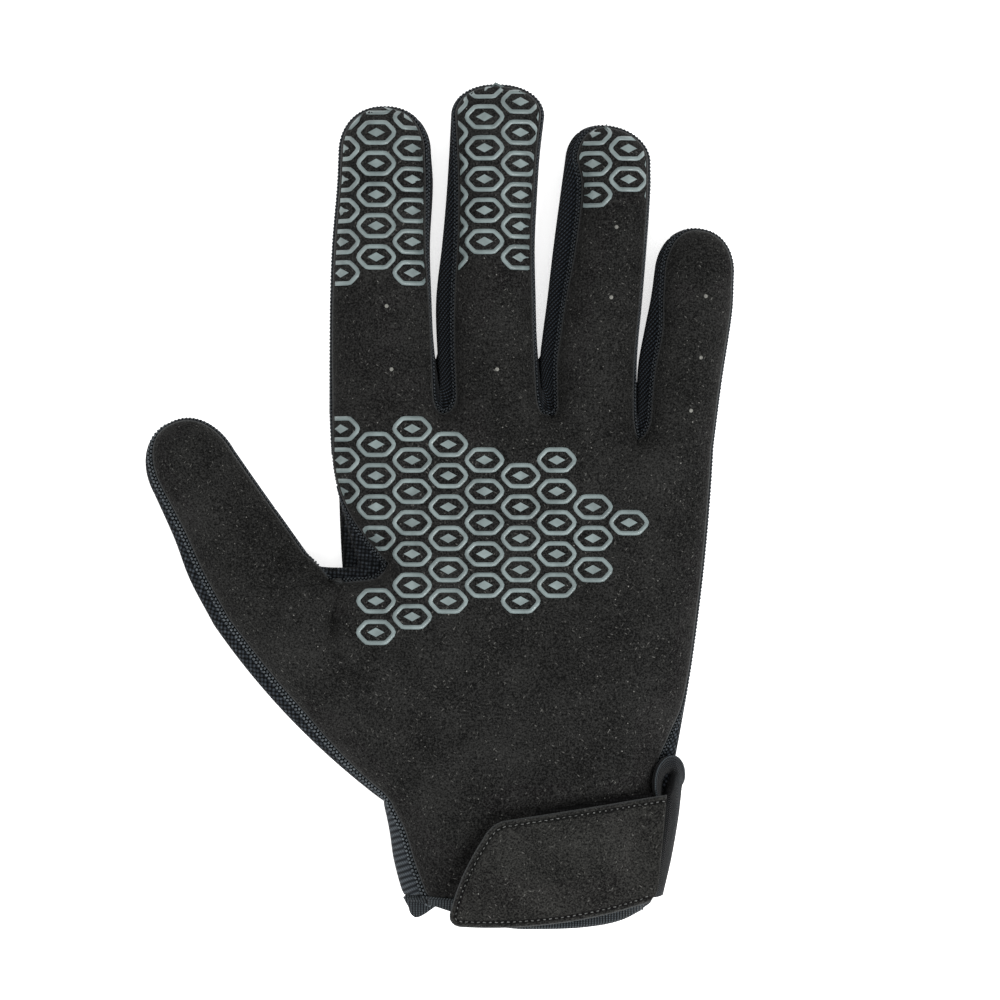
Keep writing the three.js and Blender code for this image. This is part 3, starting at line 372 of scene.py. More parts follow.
def seamField(line):  # smooth distance to the seams of a sheet, and height of the seams nearby
    side = sides[line]
    left, right = palmColumn(line, "left", 0, thumbRow), palmColumn(line, "right", 0, knuckleRow)
    split = palmColumn(line, "split", thumbRow, knuckleRow)
    runOn = np.array([[0, -hand["hemRun"], 0]])
    chains = [
        np.concatenate([left[:1] + runOn, left, side["thumbLeft"][1:]]),
        np.concatenate([side["thumbRight"][::-1], split[1:], side["indexLeft"][1:]]),
        np.concatenate([side["indexRight"][::-1], side["middleLeft"][1:]]),
        np.concatenate([side["middleRight"][::-1], side["ringLeft"][1:]]),
        np.concatenate([side["ringRight"][::-1], side["littleLeft"][1:]]),
        np.concatenate([right[:1] + runOn, right, side["littleRight"][1:]]),
    ]
    p = np.concatenate([chain[:-1] for chain in chains])
    q = np.concatenate([chain[1:] for chain in chains])
    run = np.hypot(q[:, 0] - p[:, 0], q[:, 1] - p[:, 1])
    keep = run > 1e-6
    p, q, run = p[keep], q[keep], run[keep]
    u = (q[:, :2] - p[:, :2]) / run[:, None]
    z = (p[:, 2] + q[:, 2]) / 2

    def field(points):
        distance, height = np.empty(len(points)), np.empty(len(points))
        for first in range(0, len(points), 4000):
            part = points[first:first + 4000]
            dx = p[None, :, 0] - part[:, 0, None]
            dy = p[None, :, 1] - part[:, 1, None]
            s1 = dx * u[:, 0] + dy * u[:, 1]
            s2 = s1 + run
            n2 = np.maximum(dx**2 + dy**2 - s1**2, 1e-4)
            weight = (s2 / np.sqrt(n2 + s2**2) - s1 / np.sqrt(n2 + s1**2)) / n2
            total = weight.sum(1)
            distance[first:first + 4000] = np.sqrt(2 / total)
            height[first:first + 4000] = (weight * z).sum(1) / total
        return distance, height
    return field


frontField, backField = seamField("front"), seamField("back")


def bumps(points, table):
    total = np.zeros(len(points))
    for acrossShare, up, turn, run, spread, rise in table:
        x, y = placeOf((acrossShare, up))
        a = math.radians(turn)
        along = (points[:, 0] - x) * math.cos(a) + (points[:, 1] - y) * math.sin(a)
        aside = (points[:, 1] - y) * math.cos(a) - (points[:, 0] - x) * math.sin(a)
        total += rise * np.exp(-((along / run) ** 2) - (aside / spread) ** 2)
    return total


def softNoise(points, size, seed):  # smooth noise of one wavelength in mm, the same in every run
    return np.array([noise.noise(Vector((x / size, y / size, seed))) for x, y in points[:, :2]])


# Unevenness of the suede: height and wavelength in mm, seed. The last one puckers the suede along its seams.
broadWaves, smallWaves, pucker = (0.5, 17, 3), (0.22, 7, 11), (0.16, 3.2, 5)
seamSettle, puckerReach = 3, 4  # mm from a seam


def frontHeight(points, fine=True):
    distance, height = frontField(points)
    share = np.sqrt(1 - np.exp(-distance / hand["crownRun"]))
    z = height + hand["crownHeight"] * share + bumps(points, folds) * share
    if fine:
        settle = 1 - np.exp(-distance / seamSettle)
        broad, small, puckered = (high * softNoise(points, size, seed)
                                  for high, size, seed in (broadWaves, smallWaves, pucker))
        z += (bumps(points, creases) + broad + small) * settle
        z += puckered * np.exp(-distance / puckerReach) * settle
    return z


def backHeight(points):
    distance, height = backField(points)
    return height * np.maximum(0, 1 - np.sqrt(distance / hand["backRun"])) ** 2


print("shape worked out")

# The closed skin: grids of points, each with a flat layout in mm for the weave and a panel for each row
skin = {"points": [], "faces": [], "panels": [], "flat": [], "edge": [], "count": 0}


def addGrid(grid, flat, edge, panelOf, flip):
    rows, cols = grid.shape[:2]
    index = np.arange(rows * cols).reshape(rows, cols) + skin["count"]
    a, b, c, d = index[:-1, :-1], index[:-1, 1:], index[1:, 1:], index[1:, :-1]
    faces = np.stack([a, d, c, b] if flip else [a, b, c, d], -1).reshape(-1, 4)
    skin["faces"].append(faces)
    skin["panels"] += [panelOf(i // rowCells) for i in range(rows - 1) for _ in range(cols - 1)]
    skin["points"].append(grid.reshape(-1, 3))
    skin["flat"].append(flat.reshape(-1, 2))
    skin["edge"].append(edge.reshape(-1))
    skin["count"] += rows * cols


sagPeak = 0.208  # highest value of the sag's curve, to which it is scaled
thumbBlend = {"end": 34, "run": 20}  # in rows up the thumb: where its rows are straight again


def rowSag(share):  # how far the row below the thumb hangs, from its left end to the crotch
    share = np.clip(share, 0, 1)
    return hand["thumbRowSag"] * share**4 * np.sqrt(1 - share) / sagPeak


def bendRows(grid, kind, line):
    if kind in ("palm", "plain"):  # the rows at the wrist follow the hem's curve
        for i, row in enumerate(rowsOf[line][:wristRowCount * rowCells]):
            places, curve, weight = row["hem"]
            bent = np.interp(grid[i, :, 0], places, curve)
            grid[i, 1:-1, 1] = mix(grid[i, 1:-1, 1], bent[1:-1], weight)
    if kind == "palm":  # rows bend more and more towards the thumb
        weight = np.clip((np.arange(len(grid)) / rowCells - thumbRow + 2) / 2, 0, 1) ** 2
        grid[:, :, 1] -= weight[:, None] * rowSag(sheetCells)[None, :]
    if kind == "thumb":  # rows lie side by side above the first, and straighten up the thumb
        first, last = grid[0, 0], grid[0, -1]

        def firstRow(x):
            share = (x - first[0]) / (last[0] - first[0])
            return mix(first[1], last[1], share) - rowSag(share)
        straight = grid[:, :, 1].copy()
        off = straight - firstRow(grid[:, :, 0])
        offset = off[:, :1] + (off[:, -1:] - off[:, :1]) * sheetCells[None, :]
        bent = firstRow(grid[:, :, 0]) + offset
        weight = np.clip((thumbBlend["end"] - np.arange(len(grid))) / thumbBlend["run"], 0, 1)[:, None]
        grid[:, :, 1] = mix(straight, bent, weight * weight * (3 - 2 * weight))


def addSheet(leftLine, rightLine, heightOf, fieldOf, seamLeft, seamRight, panelOf, flip, bend, line):
    grid = leftLine[:, None, :] + (rightLine - leftLine)[:, None, :] * sheetCells[None, :, None]
    bendRows(grid, bend, line)
    flatPoints = grid.reshape(-1, 3)
    heights = heightOf(flatPoints).reshape(grid.shape[:2])
    edge = fieldOf(flatPoints)[0].reshape(grid.shape[:2])
    rows = np.arange(len(grid))
    onLeft, onRight = np.array([seamLeft(i) for i in rows]), np.array([seamRight(i) for i in rows])
    z = grid[:, :, 2].copy()
    grid[:, :, 2] = heights
    grid[onLeft, 0, 2], grid[onRight, -1, 2] = z[onLeft, 0], z[onRight, -1]
    edge[onLeft, 0], edge[onRight, -1] = 0, 0
    addGrid(grid, grid[:, :, :2].copy(), edge, panelOf, flip)


strips = {}


def addStrip(name, front, outline, back, side, panelOf):
    share = np.arange(stripCells + 1) / stripCells
    share = (share + (1 - np.cos(np.pi * share)) / 2) / 2
    grid = front[:, None, :] + (back - front)[:, None, :] * share[None, :, None]
    pull = (4 * share * (1 - share)) ** 0.6
    grid[:, :, :2] += (outline[:, None, :2] - grid[:, :, :2]) * pull[None, :, None]
    step = np.linalg.norm(np.diff(grid, axis=1), axis=2)
    down = np.concatenate([np.zeros((len(grid), 1)), np.cumsum(step, axis=1)], axis=1)
    middle = grid[:, stripCells // 2]
    run = np.concatenate([[0], np.cumsum(np.linalg.norm(np.diff(middle, axis=0), axis=1))])
    flat = np.stack([down * side, np.repeat(run[:, None], stripCells + 1, 1)], -1)
    edge = np.minimum(down, down[:, -1:] - down)
    strips[name] = grid
    addGrid(grid, flat, edge, panelOf, side < 0)


def bottomPanel(row):
    if row == 0:
        return "cuff_binding"
    return "wrist_rib" if row < wristRowCount else "back_panel"


for line, heightOf, fieldOf, topPanel, digitPanel, flip in (
        ("front", frontHeight, frontField, lambda row: "palm_panel" if row else "cuff_binding",
         "palm_panel", False),
        ("back", backHeight, backField, bottomPanel, "back_panel", True)):
    side = sides[line]
    keys = ["split", 0, 1, 2, "right"]
    atThumb = thumbRow * rowCells
    atKnuckle = knuckleRow * rowCells
    addSheet(palmColumn(line, "left", 0, thumbRow), palmColumn(line, "split", 0, thumbRow), heightOf, fieldOf,
             lambda i: True, lambda i: i >= atThumb, topPanel, flip, "palm", line)
    for k in range(4):
        addSheet(palmColumn(line, keys[k], 0, knuckleRow), palmColumn(line, keys[k + 1], 0, knuckleRow),
                 heightOf, fieldOf, (lambda i: i >= atThumb) if k == 0 else (lambda i: i >= atKnuckle),
                 (lambda i: True) if k == 3 else (lambda i: i >= atKnuckle), topPanel, flip, "plain", line)
    for name in digits:
        addSheet(side[name + "Left"], side[name + "Right"], heightOf, fieldOf, lambda i: True, lambda i: True,
                 lambda row: digitPanel, flip, name, line)

gussetOf = {"thumbRight": "gusset_thumb", "indexRight": "gusset_index_middle",
            "middleLeft": "gusset_index_middle", "middleRight": "gusset_middle_ring",
            "ringLeft": "gusset_middle_ring", "ringRight": "gusset_ring_little",
            "littleLeft": "gusset_ring_little"}
for name in sides["front"]:
    endRow = thumbGussetEndRow if name == "thumbRight" else gussetEndRow
    gusset = gussetOf.get(name)
    addStrip(name, sides["front"][name], sides["outline"][name], sides["back"][name],
             -1 if name.endswith("Left") else 1,
             lambda row: gusset if gusset and row < endRow else "back_panel")
addStrip("palmLeft", *[palmColumn(line, "left", 0, thumbRow) for line in lines], -1, bottomPanel)
addStrip("palmSplit", *[palmColumn(line, "split", thumbRow, knuckleRow) for line in lines], -1,
         lambda row: "gusset_thumb")
addStrip("palmRight", *[palmColumn(line, "right", 0, knuckleRow) for line in lines], 1, bottomPanel)

allPoints = np.concatenate(skin["points"])
allFlat = np.concatenate(skin["flat"])
allEdge = np.concatenate(skin["edge"])
allFaces = np.concatenate(skin["faces"])
allPanels = np.array(skin["panels"])
_, firstOf, mergedOf = np.unique(np.round(allPoints * 500).astype(np.int64), axis=0, return_index=True,
                                 return_inverse=True)
mergedOf = mergedOf.reshape(-1)
skinPoints = allPoints[firstOf]


def facesNormal(points, faces):
    p = points[faces]
    return np.cross(p[:, 2] - p[:, 0], p[:, 3] - p[:, 1])


def pointNormals(points, faces):
    normals = np.zeros_like(points)
    for k in range(4):
        np.add.at(normals, faces[:, k], facesNormal(points, faces))
    return normals / np.maximum(np.linalg.norm(normals, axis=1), 1e-9)[:, None]


mergedFaces = mergedOf[allFaces]
outward = pointNormals(skinPoints, mergedFaces)
print("skin of", len(skinPoints), "points")

# Move from the hand's frame to the glove's, in metres
strapCorner = (wristMiddle + wristRows[-1]["right"] * hand["wristWidth"] - 0.3, hand["wristHeight"] + 3.6)
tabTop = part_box("strap_tab")[1]
toFrame = np.array([tabTop.x * 1000 - strapCorner[0], tabTop.y * 1000 - strapCorner[1], 0])


def inScene(name, data):
    made = bpy.data.objects.new(name, data)
    bpy.context.scene.collection.objects.link(made)
    return made


def meshPiece(name, points, faces, flat, edge):  # flat: layout of face corners, edge: distance to a seam, on the elastic band the distance from its painted shade
    mesh = bpy.data.meshes.new(name)
    mesh.from_pydata(((points + toFrame) / 1000).tolist(), [], faces)
    mesh.polygons.foreach_set("use_smooth", [True] * len(mesh.polygons))
    layer = mesh.uv_layers.new(name="flat")
    layer.data.foreach_set("uv", (np.asarray(flat) / 1000).ravel())
    attribute = mesh.attributes.new("seamAndShadeDistance", "FLOAT", "POINT")
    attribute.data.foreach_set("value", np.asarray(edge, np.float32))
    return inScene(name, mesh)


def panelPiece(name, panel, wall, roll, gap, shape=None):
    chosen = allPanels == panel
    faces = mergedFaces[chosen]
    flats = skinPoints[faces][:, :, :2] if panel == "gusset_thumb" else allFlat[allFaces[chosen]]
    used, local = np.unique(faces, return_inverse=True)
    local = local.reshape(-1, 4)
    outer = skinPoints[used].copy()
    normal = outward[used]
    edgeOf = np.zeros(len(used))
    edgeOf[local.ravel()] = allEdge[allFaces[chosen]].ravel()
    if shape is not None:
        outer = shape(outer, normal)
    inner = outer - normal * wall
    pairs = {}
    for f, face in enumerate(local):
        corners = [c for k, c in enumerate(face) if c != face[k - 1]]
        for k, a in enumerate(corners):
            pairs[(a, corners[(k + 1) % len(corners)])] = f
    rim = [(a, b, f) for (a, b), f in pairs.items() if (b, a) not in pairs]
    pull = np.zeros_like(outer)
    for a, b, f in rim:
        p = outer[local[f]]
        n = np.cross(p[2] - p[0], p[3] - p[1])
        into = np.cross(n, outer[b] - outer[a])
        into /= max(np.linalg.norm(into), 1e-9)
        pull[a] += into
        pull[b] += into
    size = np.linalg.norm(pull, axis=1)
    onRim = size > 1e-9
    pull[onRim] /= size[onRim, None]
    outer[onRim] += pull[onRim] * gap - normal[onRim] * roll
    inner[onRim] += pull[onRim] * gap
    count = len(used)
    polygons, uvs = [], []
    for face, flat in zip(local, flats):
        keep = [k for k in range(4) if face[k] != face[k - 1]]
        if len(keep) < 3:
            continue
        polygons.append([int(face[k]) for k in keep])
        uvs += [flat[k] for k in keep]
        polygons.append([int(face[k]) + count for k in reversed(keep)])
        uvs += [flat[k] for k in reversed(keep)]
    flatOf = np.zeros((count, 2))
    flatOf[local.ravel()] = flats.reshape(-1, 2)
    for a, b, f in rim:
        polygons.append([int(b), int(a), int(a) + count, int(b) + count])
        uvs += [flatOf[b], flatOf[a], flatOf[a], flatOf[b]]
    return meshPiece(name, np.concatenate([outer, inner]), polygons, uvs, np.concatenate([edgeOf, edgeOf]))


def linear(code):  # sRGB hex to linear
    channels = [int(code[i:i + 2], 16) / 255 for i in (1, 3, 5)]
    return [c / 12.92 if c <= 0.04045 else ((c + 0.055) / 1.055) ** 2.4 for c in channels] + [1.0]


def addNode(tree, kind, inputs=(), **settings):  # inputs by name or number: a socket to link, or a value
    made = tree.nodes.new(kind)
    for key, value in settings.items():
        setattr(made, key, value)
    for key, value in dict(inputs).items():
        if isinstance(value, bpy.types.NodeSocket):
            tree.links.new(value, made.inputs[key])
        else:
            made.inputs[key].default_value = value
    return made


def newMaterial(name):
    material = bpy.data.materials.new(name)
    material.use_nodes = True
    tree = material.node_tree
    shader = next(n for n in tree.nodes if n.type == "BSDF_PRINCIPLED")
    return material, tree, shader


def ramp(tree, value, stops):
    made = addNode(tree, "ShaderNodeValToRGB", {"Fac": value})
    elements = made.color_ramp.elements
    while len(elements) < len(stops):
        elements.new(0.5)
    for element, (position, colour) in zip(elements, stops):
        element.position = position
        element.color = linear(colour) if isinstance(colour, str) else [colour] * 3 + [1]
    return made.outputs["Color"]


def blend(tree, kind, share, a, b):
    made = addNode(tree, "ShaderNodeMix", {0: share, 6: a, 7: b}, data_type="RGBA", blend_type=kind)
    return made.outputs[2]


def bump(tree, shader, height, strength, distance):
    made = addNode(tree, "ShaderNodeBump", {"Height": height, "Strength": strength, "Distance": distance})
    tree.links.new(made.outputs["Normal"], shader.inputs["Normal"])


def calc(tree, operation, *values):
    return addNode(tree, "ShaderNodeMath", enumerate(values), operation=operation).outputs[0]


def noiseAt(tree, place, size, detail, roughness=0.5):
    return addNode(tree, "ShaderNodeTexNoise", {"Vector": place, "Scale": 1 / size, "Detail": detail,
                                                "Roughness": roughness}).outputs["Fac"]


waveUnit = 0.314  # a wave texture of scale 1 repeats at this distance


def waveAt(tree, place, pitch, direction, distortion, detail=2, detailScale=1):
    return addNode(tree, "ShaderNodeTexWave", {
        "Vector": place, "Scale": waveUnit / pitch, "Distortion": distortion, "Detail": detail,
        "Detail Scale": detailScale}, wave_type="BANDS", bands_direction=direction).outputs["Fac"]


def matt(tree, shader, colour, roughness, specular, sheen=0.0):
    tree.links.new(colour, shader.inputs["Base Color"])
    for key, value in (("Roughness", roughness), ("Specular IOR Level", specular), ("Sheen Weight", sheen)):
        shader.inputs[key].default_value = value


def seamAndShadeDistance(tree):
    return addNode(tree, "ShaderNodeAttribute", attribute_name="seamAndShadeDistance").outputs["Fac"]


suedeLook = {"dark": "#060606", "light": "#2c2c2b", "cutEdge": "#4d4f50", "fibre": "#b4b3ad", "grain": 0.0005,
             "mottle": 0.012, "fibreLong": 0.0032, "fibreWide": 0.0008, "speck": 0.0016, "groove": 0}


def brushedSuede(name, look):
    # Microfibre suede with a brushed nap: dead matte, near black, with broken pale fibres caught in it and a
    # paler cut edge along its seams
    material, tree, shader = newMaterial(name)
    place = addNode(tree, "ShaderNodeTexCoord").outputs["Object"]
    grain = noiseAt(tree, place, look["grain"], 3, 0.75)
    mottle = noiseAt(tree, place, look["mottle"], 4)
    nap = calc(tree, "MULTIPLY", grain, 0.85)
    tone = calc(tree, "MULTIPLY_ADD", mottle, 0.18, nap)
    colour = ramp(tree, tone, [(0.43, look["dark"]), (0.65, look["light"])])
    sway = addNode(tree, "ShaderNodeTexNoise", {"Vector": place, "Scale": 1 / 0.003,
                                                "Detail": 1}).outputs["Color"]
    bent = addNode(tree, "ShaderNodeVectorMath", {0: sway, 1: (0.0012, 0.0012, 0.0012), 2: place},
                   operation="MULTIPLY_ADD").outputs["Vector"]
    longCell, wideCell = 1 / look["fibreLong"], 1 / look["fibreWide"]
    layers = [(28, longCell, wideCell, 0.12, 0.45, 0.2), (-52, longCell, wideCell, 0.12, 0.45, 0.2),
              (80, longCell * 1.3, wideCell, 0.12, 0.5, 0.16),
              (0, 1 / look["speck"], 1 / look["speck"], 0.08, 0.75, 0.5)]
    for turn, acrossScale, alongScale, width, share, strength in layers:
        # one loose fibre in some of the cells, and no two equally bright
        laid = addNode(tree, "ShaderNodeMapping", {"Vector": bent, "Rotation": (0, 0, math.radians(turn))})
        cellPlace = addNode(tree, "ShaderNodeVectorMath", {
            0: laid.outputs["Vector"], 1: (acrossScale, alongScale, alongScale)}, operation="MULTIPLY")
        cells = addNode(tree, "ShaderNodeTexVoronoi", {"Vector": cellPlace.outputs["Vector"], "Scale": 1.0,
                                                       "Randomness": 1.0}, feature="F1")
        near = ramp(tree, cells.outputs["Distance"], [(width * 0.6, 1.0), (width * 1.5, 0.0)])
        parts = addNode(tree, "ShaderNodeSeparateColor", {"Color": cells.outputs["Color"]}).outputs
        chosen = addNode(tree, "ShaderNodeMapRange", {
            "Value": parts["Red"], "From Min": share, "From Max": 1.0, "To Min": 0.0,
            "To Max": strength}).outputs["Result"]
        fleck = calc(tree, "MULTIPLY", near, chosen)
        colour = blend(tree, "MIX", fleck, colour, linear(look["fibre"]))
    seam = seamAndShadeDistance(tree)
    edge = ramp(tree, seam, [(0.12, 0.9), (0.5, 0.0)])
    frayed = calc(tree, "MULTIPLY", edge, grain)
    colour = blend(tree, "MIX", frayed, colour, linear(look["cutEdge"]))
    # painted shade in the stitch groove: the suede darkens along the groove's line
    if look["groove"]:
        off = calc(tree, "SUBTRACT", seam, look["groove"])
        away = calc(tree, "ABSOLUTE", off)
        grooveShade = ramp(tree, away, [(0.25, 0.8), (0.65, 0.0)])
        colour = blend(tree, "MIX", grooveShade, colour, linear(look["dark"]))
    matt(tree, shader, colour, 0.95, 0.08, 0.03)
    shader.inputs["Sheen Roughness"].default_value = 0.4
    shader.inputs["Sheen Tint"].default_value = linear("#b8b6b0")
    bump(tree, shader, tone, 0.6, 0.0005)
    return material


def flatPlace(tree, turn):
    layout = addNode(tree, "ShaderNodeUVMap", uv_map="flat").outputs["UV"]
    return addNode(tree, "ShaderNodeMapping", {"Vector": layout, "Rotation": (0, 0, math.radians(turn))}
                   ).outputs["Vector"]


# Painted shade: knit is darkened towards near black close to its seams, where shade falls in the seam's
# recess
paintedShadeLook = {"colour": "#030405", "strength": 0.85, "start": 0.75, "rampShare": 0.2}


def paintedShadeNear(tree, colour, reach, start=paintedShadeLook["start"]):  # painted shade: darker near a seam, and on the elastic band in its hollow; reach in mm
    share = paintedShadeLook["rampShare"]  # a colour ramp ends at 1, so the mm are scaled to it
    near = ramp(tree, calc(tree, "MULTIPLY", seamAndShadeDistance(tree), share),
                [(reach * start * share, paintedShadeLook["strength"]), (reach * share, 0.0)])
    return blend(tree, "MIX", near, colour, linear(paintedShadeLook["colour"]))


meshLook = {"dark": "#030405", "yarn": "#202429", "light": "#464d54", "pitch": 0.00115, "turn": 45,
            "bed": 1.5}


def airMesh(name, look):
    # Warp-knitted polyester mesh: round yarn loops in offset rows, with dark pinholes between them
    material, tree, shader = newMaterial(name)
    place = flatPlace(tree, look["turn"])
    loops = addNode(tree, "ShaderNodeTexVoronoi", {"Vector": place, "Scale": 1 / look["pitch"],
                                                   "Randomness": 0.14}, feature="F1").outputs["Distance"]
    lumps = ramp(tree, loops, [(0.1, 1.0), (0.52, 0.0)])
    tint = noiseAt(tree, place, 0.0011, 3)
    yarn = ramp(tree, tint, [(0.38, look["yarn"]), (0.66, look["light"])])
    colour = blend(tree, "MIX", lumps, linear(look["dark"]), yarn)
    # painted shade along the mesh's seams
    colour = paintedShadeNear(tree, colour, look["bed"])
    matt(tree, shader, colour, 0.8, 0.06, 0.03)
    shader.inputs["Sheen Roughness"].default_value = 0.4
    bump(tree, shader, lumps, 0.9, 0.0006)
    return material


cordLook = {"dark": "#010102", "yarn": "#101418", "light": "#363e47", "pitch": 0.0007, "turn": -55,
            "twist": 0.0011, "twistTurn": 62}


def cordKnit(name, look):
    # Stretch cord knit: twisted yarn ribs that cross the strip aslant, light on their backs
    material, tree, shader = newMaterial(name)
    place = flatPlace(tree, look["turn"])
    ribs = waveAt(tree, place, look["pitch"], "Y", 0.35, 1, 1.5)
    twist = waveAt(tree, flatPlace(tree, look["turn"] + look["twistTurn"]), look["twist"], "Y", 0.2)
    twisted = calc(tree, "MULTIPLY_ADD", twist, 0.45, 0.55)
    cord = calc(tree, "MULTIPLY", ribs, twisted)
    colour = ramp(tree, cord, [(0.2, look["dark"]), (0.55, look["yarn"]), (0.92, look["light"])])
    matt(tree, shader, colour, 0.78, 0.05, 0.03)
    bump(tree, shader, cord, 1.0, 0.0009)
    return material


ribLook = {"dark": "#1a1d20", "yarn": "#2e3236", "light": "#4e5459", "pitch": 0.00142, "yarnPitch": 0.0007,
           "turn": -21, "bed": 1.9}


def ribElastic(name, look, direction="Y"):
    # Ribbed elastic knit: soft raised ribs over rubber cores, blue-grey where they catch the light
    material, tree, shader = newMaterial(name)
    place = flatPlace(tree, look["turn"])
    ribs = waveAt(tree, place, look["pitch"], direction, 1.4, 2, 0.8)
    yarns = waveAt(tree, place, look["yarnPitch"], "X" if direction == "Y" else "Y", 0.3)
    woven = calc(tree, "MULTIPLY_ADD", yarns, 0.4, 0.6)
    rounded = calc(tree, "POWER", ribs, 0.6)
    height = calc(tree, "MULTIPLY", rounded, woven)
    colour = ramp(tree, height, [(0.12, look["dark"]), (0.5, look["yarn"]), (0.95, look["light"])])
    # painted shade along the knit's seams; on the elastic band, in its hood's hollow and beside the strap's
    # edge
    colour = paintedShadeNear(tree, colour, look["bed"], look.get("shadeStart", paintedShadeLook["start"]))
    matt(tree, shader, colour, 0.72, 0.05, 0.05)
    bump(tree, shader, height, 0.9, 0.0008)
    return material


def spunThread(name, colour, roughness=0.55):
    # Bonded polyester thread: smooth, with a dull shine along each stitch
    material, tree, shader = newMaterial(name)
    place = addNode(tree, "ShaderNodeTexCoord").outputs["Object"]
    fuzz = noiseAt(tree, place, 0.0004, 2)
    matt(tree, shader, ramp(tree, fuzz, [(0.3, colour[0]), (0.7, colour[1])]), roughness, 0.12)
    bump(tree, shader, fuzz, 0.3, 0.0002)
    return material


def siliconePrint(name, colour):
    # Screen-printed silicone: rubbery grey, a little glossier than the nap and slightly uneven
    material, tree, shader = newMaterial(name)
    place = addNode(tree, "ShaderNodeTexCoord").outputs["Object"]
    patches = noiseAt(tree, place, 0.004, 4)
    matt(tree, shader, ramp(tree, patches, [(0.3, colour[0]), (0.7, colour[1])]), 0.5, 0.5)
    shader.inputs["Coat Weight"].default_value = 0.1
    bump(tree, shader, noiseAt(tree, place, 0.0006, 2), 0.25, 0.0002)
    return material


def hookTape(name):
    # Moulded nylon hook tape: black, with a fine field of tiny hooks
    material, tree, shader = newMaterial(name)
    place = addNode(tree, "ShaderNodeTexCoord").outputs["Object"]
    hooks = addNode(tree, "ShaderNodeTexVoronoi", {"Vector": place, "Scale": 1 / 0.0009, "Randomness": 0.2},
                    feature="F1").outputs["Distance"]
    matt(tree, shader, ramp(tree, hooks, [(0.1, "#161617"), (0.5, "#050505")]), 0.7, 0.05)
    bump(tree, shader, hooks, 0.8, 0.0005)
    return material


suede = brushedSuede("brushedMicrofibreSuede", suedeLook)
# the strap's suede has painted shade along its stitch groove
strapSuede = brushedSuede("brushedStrapSuede", {**suedeLook, "dark": "#090909", "light": "#323230",
                                                "groove": 1.55})
mesh = airMesh("warpKnitAirMesh", meshLook)
webMesh = airMesh("warpKnitWebMesh", {**meshLook, "yarn": "#191c1f", "light": "#3c4147", "pitch": 0.00105,
                                      "turn": 4})
cord = cordKnit("twistedCordKnit", cordLook)
rib = ribElastic("ribbedElasticKnit", ribLook)
# The elastic band's material paints shade: near black in its hood's hollow and beside the strap's edge,
# fading out over 2.6 mm
band = ribElastic("wovenElasticBand", {
    "dark": "#0e1012", "yarn": "#191c1f", "light": "#2b3034", "pitch": 0.0006, "yarnPitch": 0.0006, "turn": 0,
    "bed": 2.6, "shadeStart": 0})
bindingTape = ribElastic("ribbedBindingTape", {
    "dark": "#15181a", "yarn": "#262a2d", "light": "#464c50", "pitch": 0.00075, "yarnPitch": 0.0006,
    "turn": 0, "bed": 0}, "X")
seamThread = spunThread("darkOverlockThread", ("#15171a", "#484d51"))
chainThread = spunThread("greyOverlockThread", ("#24282b", "#5f6569"))
strapThread = spunThread("greyStrapThread", ("#2c2d2c", "#6a6b69"))
silicone = siliconePrint("greySiliconePrint", ("#545f5f", "#6f7c7c"))
prickPale = spunThread("palePrickedHole", ("#5a5a57", "#7d7d77"), 0.9)
prickDark = spunThread("darkPrickedHole", ("#020202", "#060606"), 0.9)
hook = hookTape("mouldedHookTape")
print("materials made")


def finish(piece, material, nodes):
    piece.data.materials.clear()
    piece.data.materials.append(material)
    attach(piece, "root")
    if nodes:
        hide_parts(*nodes)


panelLooks = [
    ("palm_suede", "palm_panel", 1.2, 0.3, 0.15, suede, "suede"),
    ("back_mesh", "back_panel", 1.2, 0.08, 0.03, mesh, "mesh_knit"),
    ("wrist_ribbing", "wrist_rib", 1.5, 0.2, 0.08, rib, "rib_elastic"),
    ("thumb_gusset", "gusset_thumb", 1.2, 0.08, 0.03, webMesh, "mesh_knit"),
    ("index_middle_gusset", "gusset_index_middle", 1.2, 0.12, 0.05, cord, "cord_knit"),
    ("middle_ring_gusset", "gusset_middle_ring", 1.2, 0.12, 0.05, cord, "cord_knit"),
    ("ring_little_gusset", "gusset_ring_little", 1.2, 0.12, 0.05, cord, "cord_knit"),
    ("hem_binding", "cuff_binding", 2.2, 1.0, 0.12, bindingTape, "rib_elastic"),
]


bindingProud = 0.45


def standProud(points, normals):  # the binding lies on the edge it covers, but not below the ground
    moved = points + normals * bindingProud
    moved[:, 2] = np.maximum(moved[:, 2], 0)
    return moved


for name, panel, wall, roll, gap, material, slot in panelLooks:
    shape = standProud if panel == "cuff_binding" else None
    finish(panelPiece(name, panel, wall, roll, gap, shape), material, [panel])
print("panels made")

strap = {"length": 56.2, "width": 25.6, "thickness": 1.9, "hookThickness": 1.1, "hookShow": 1.0,
         "slant": 16.5, "taper": 6.9, "tilt": 8.8, "corner": 3.8, "sag": 3.2, "clearance": 0.6,
         "shoulder": 5.0,
         "elasticThickness": 1.1, "tuck": 3.0,
         "roll": 0.9, "stitchInset": 1.55, "groove": 0.4, "endDrop": 2.1, "endCorner": 3.2, "bow": 1.0}
strapRun = strap["length"] - strap["slant"] / 2


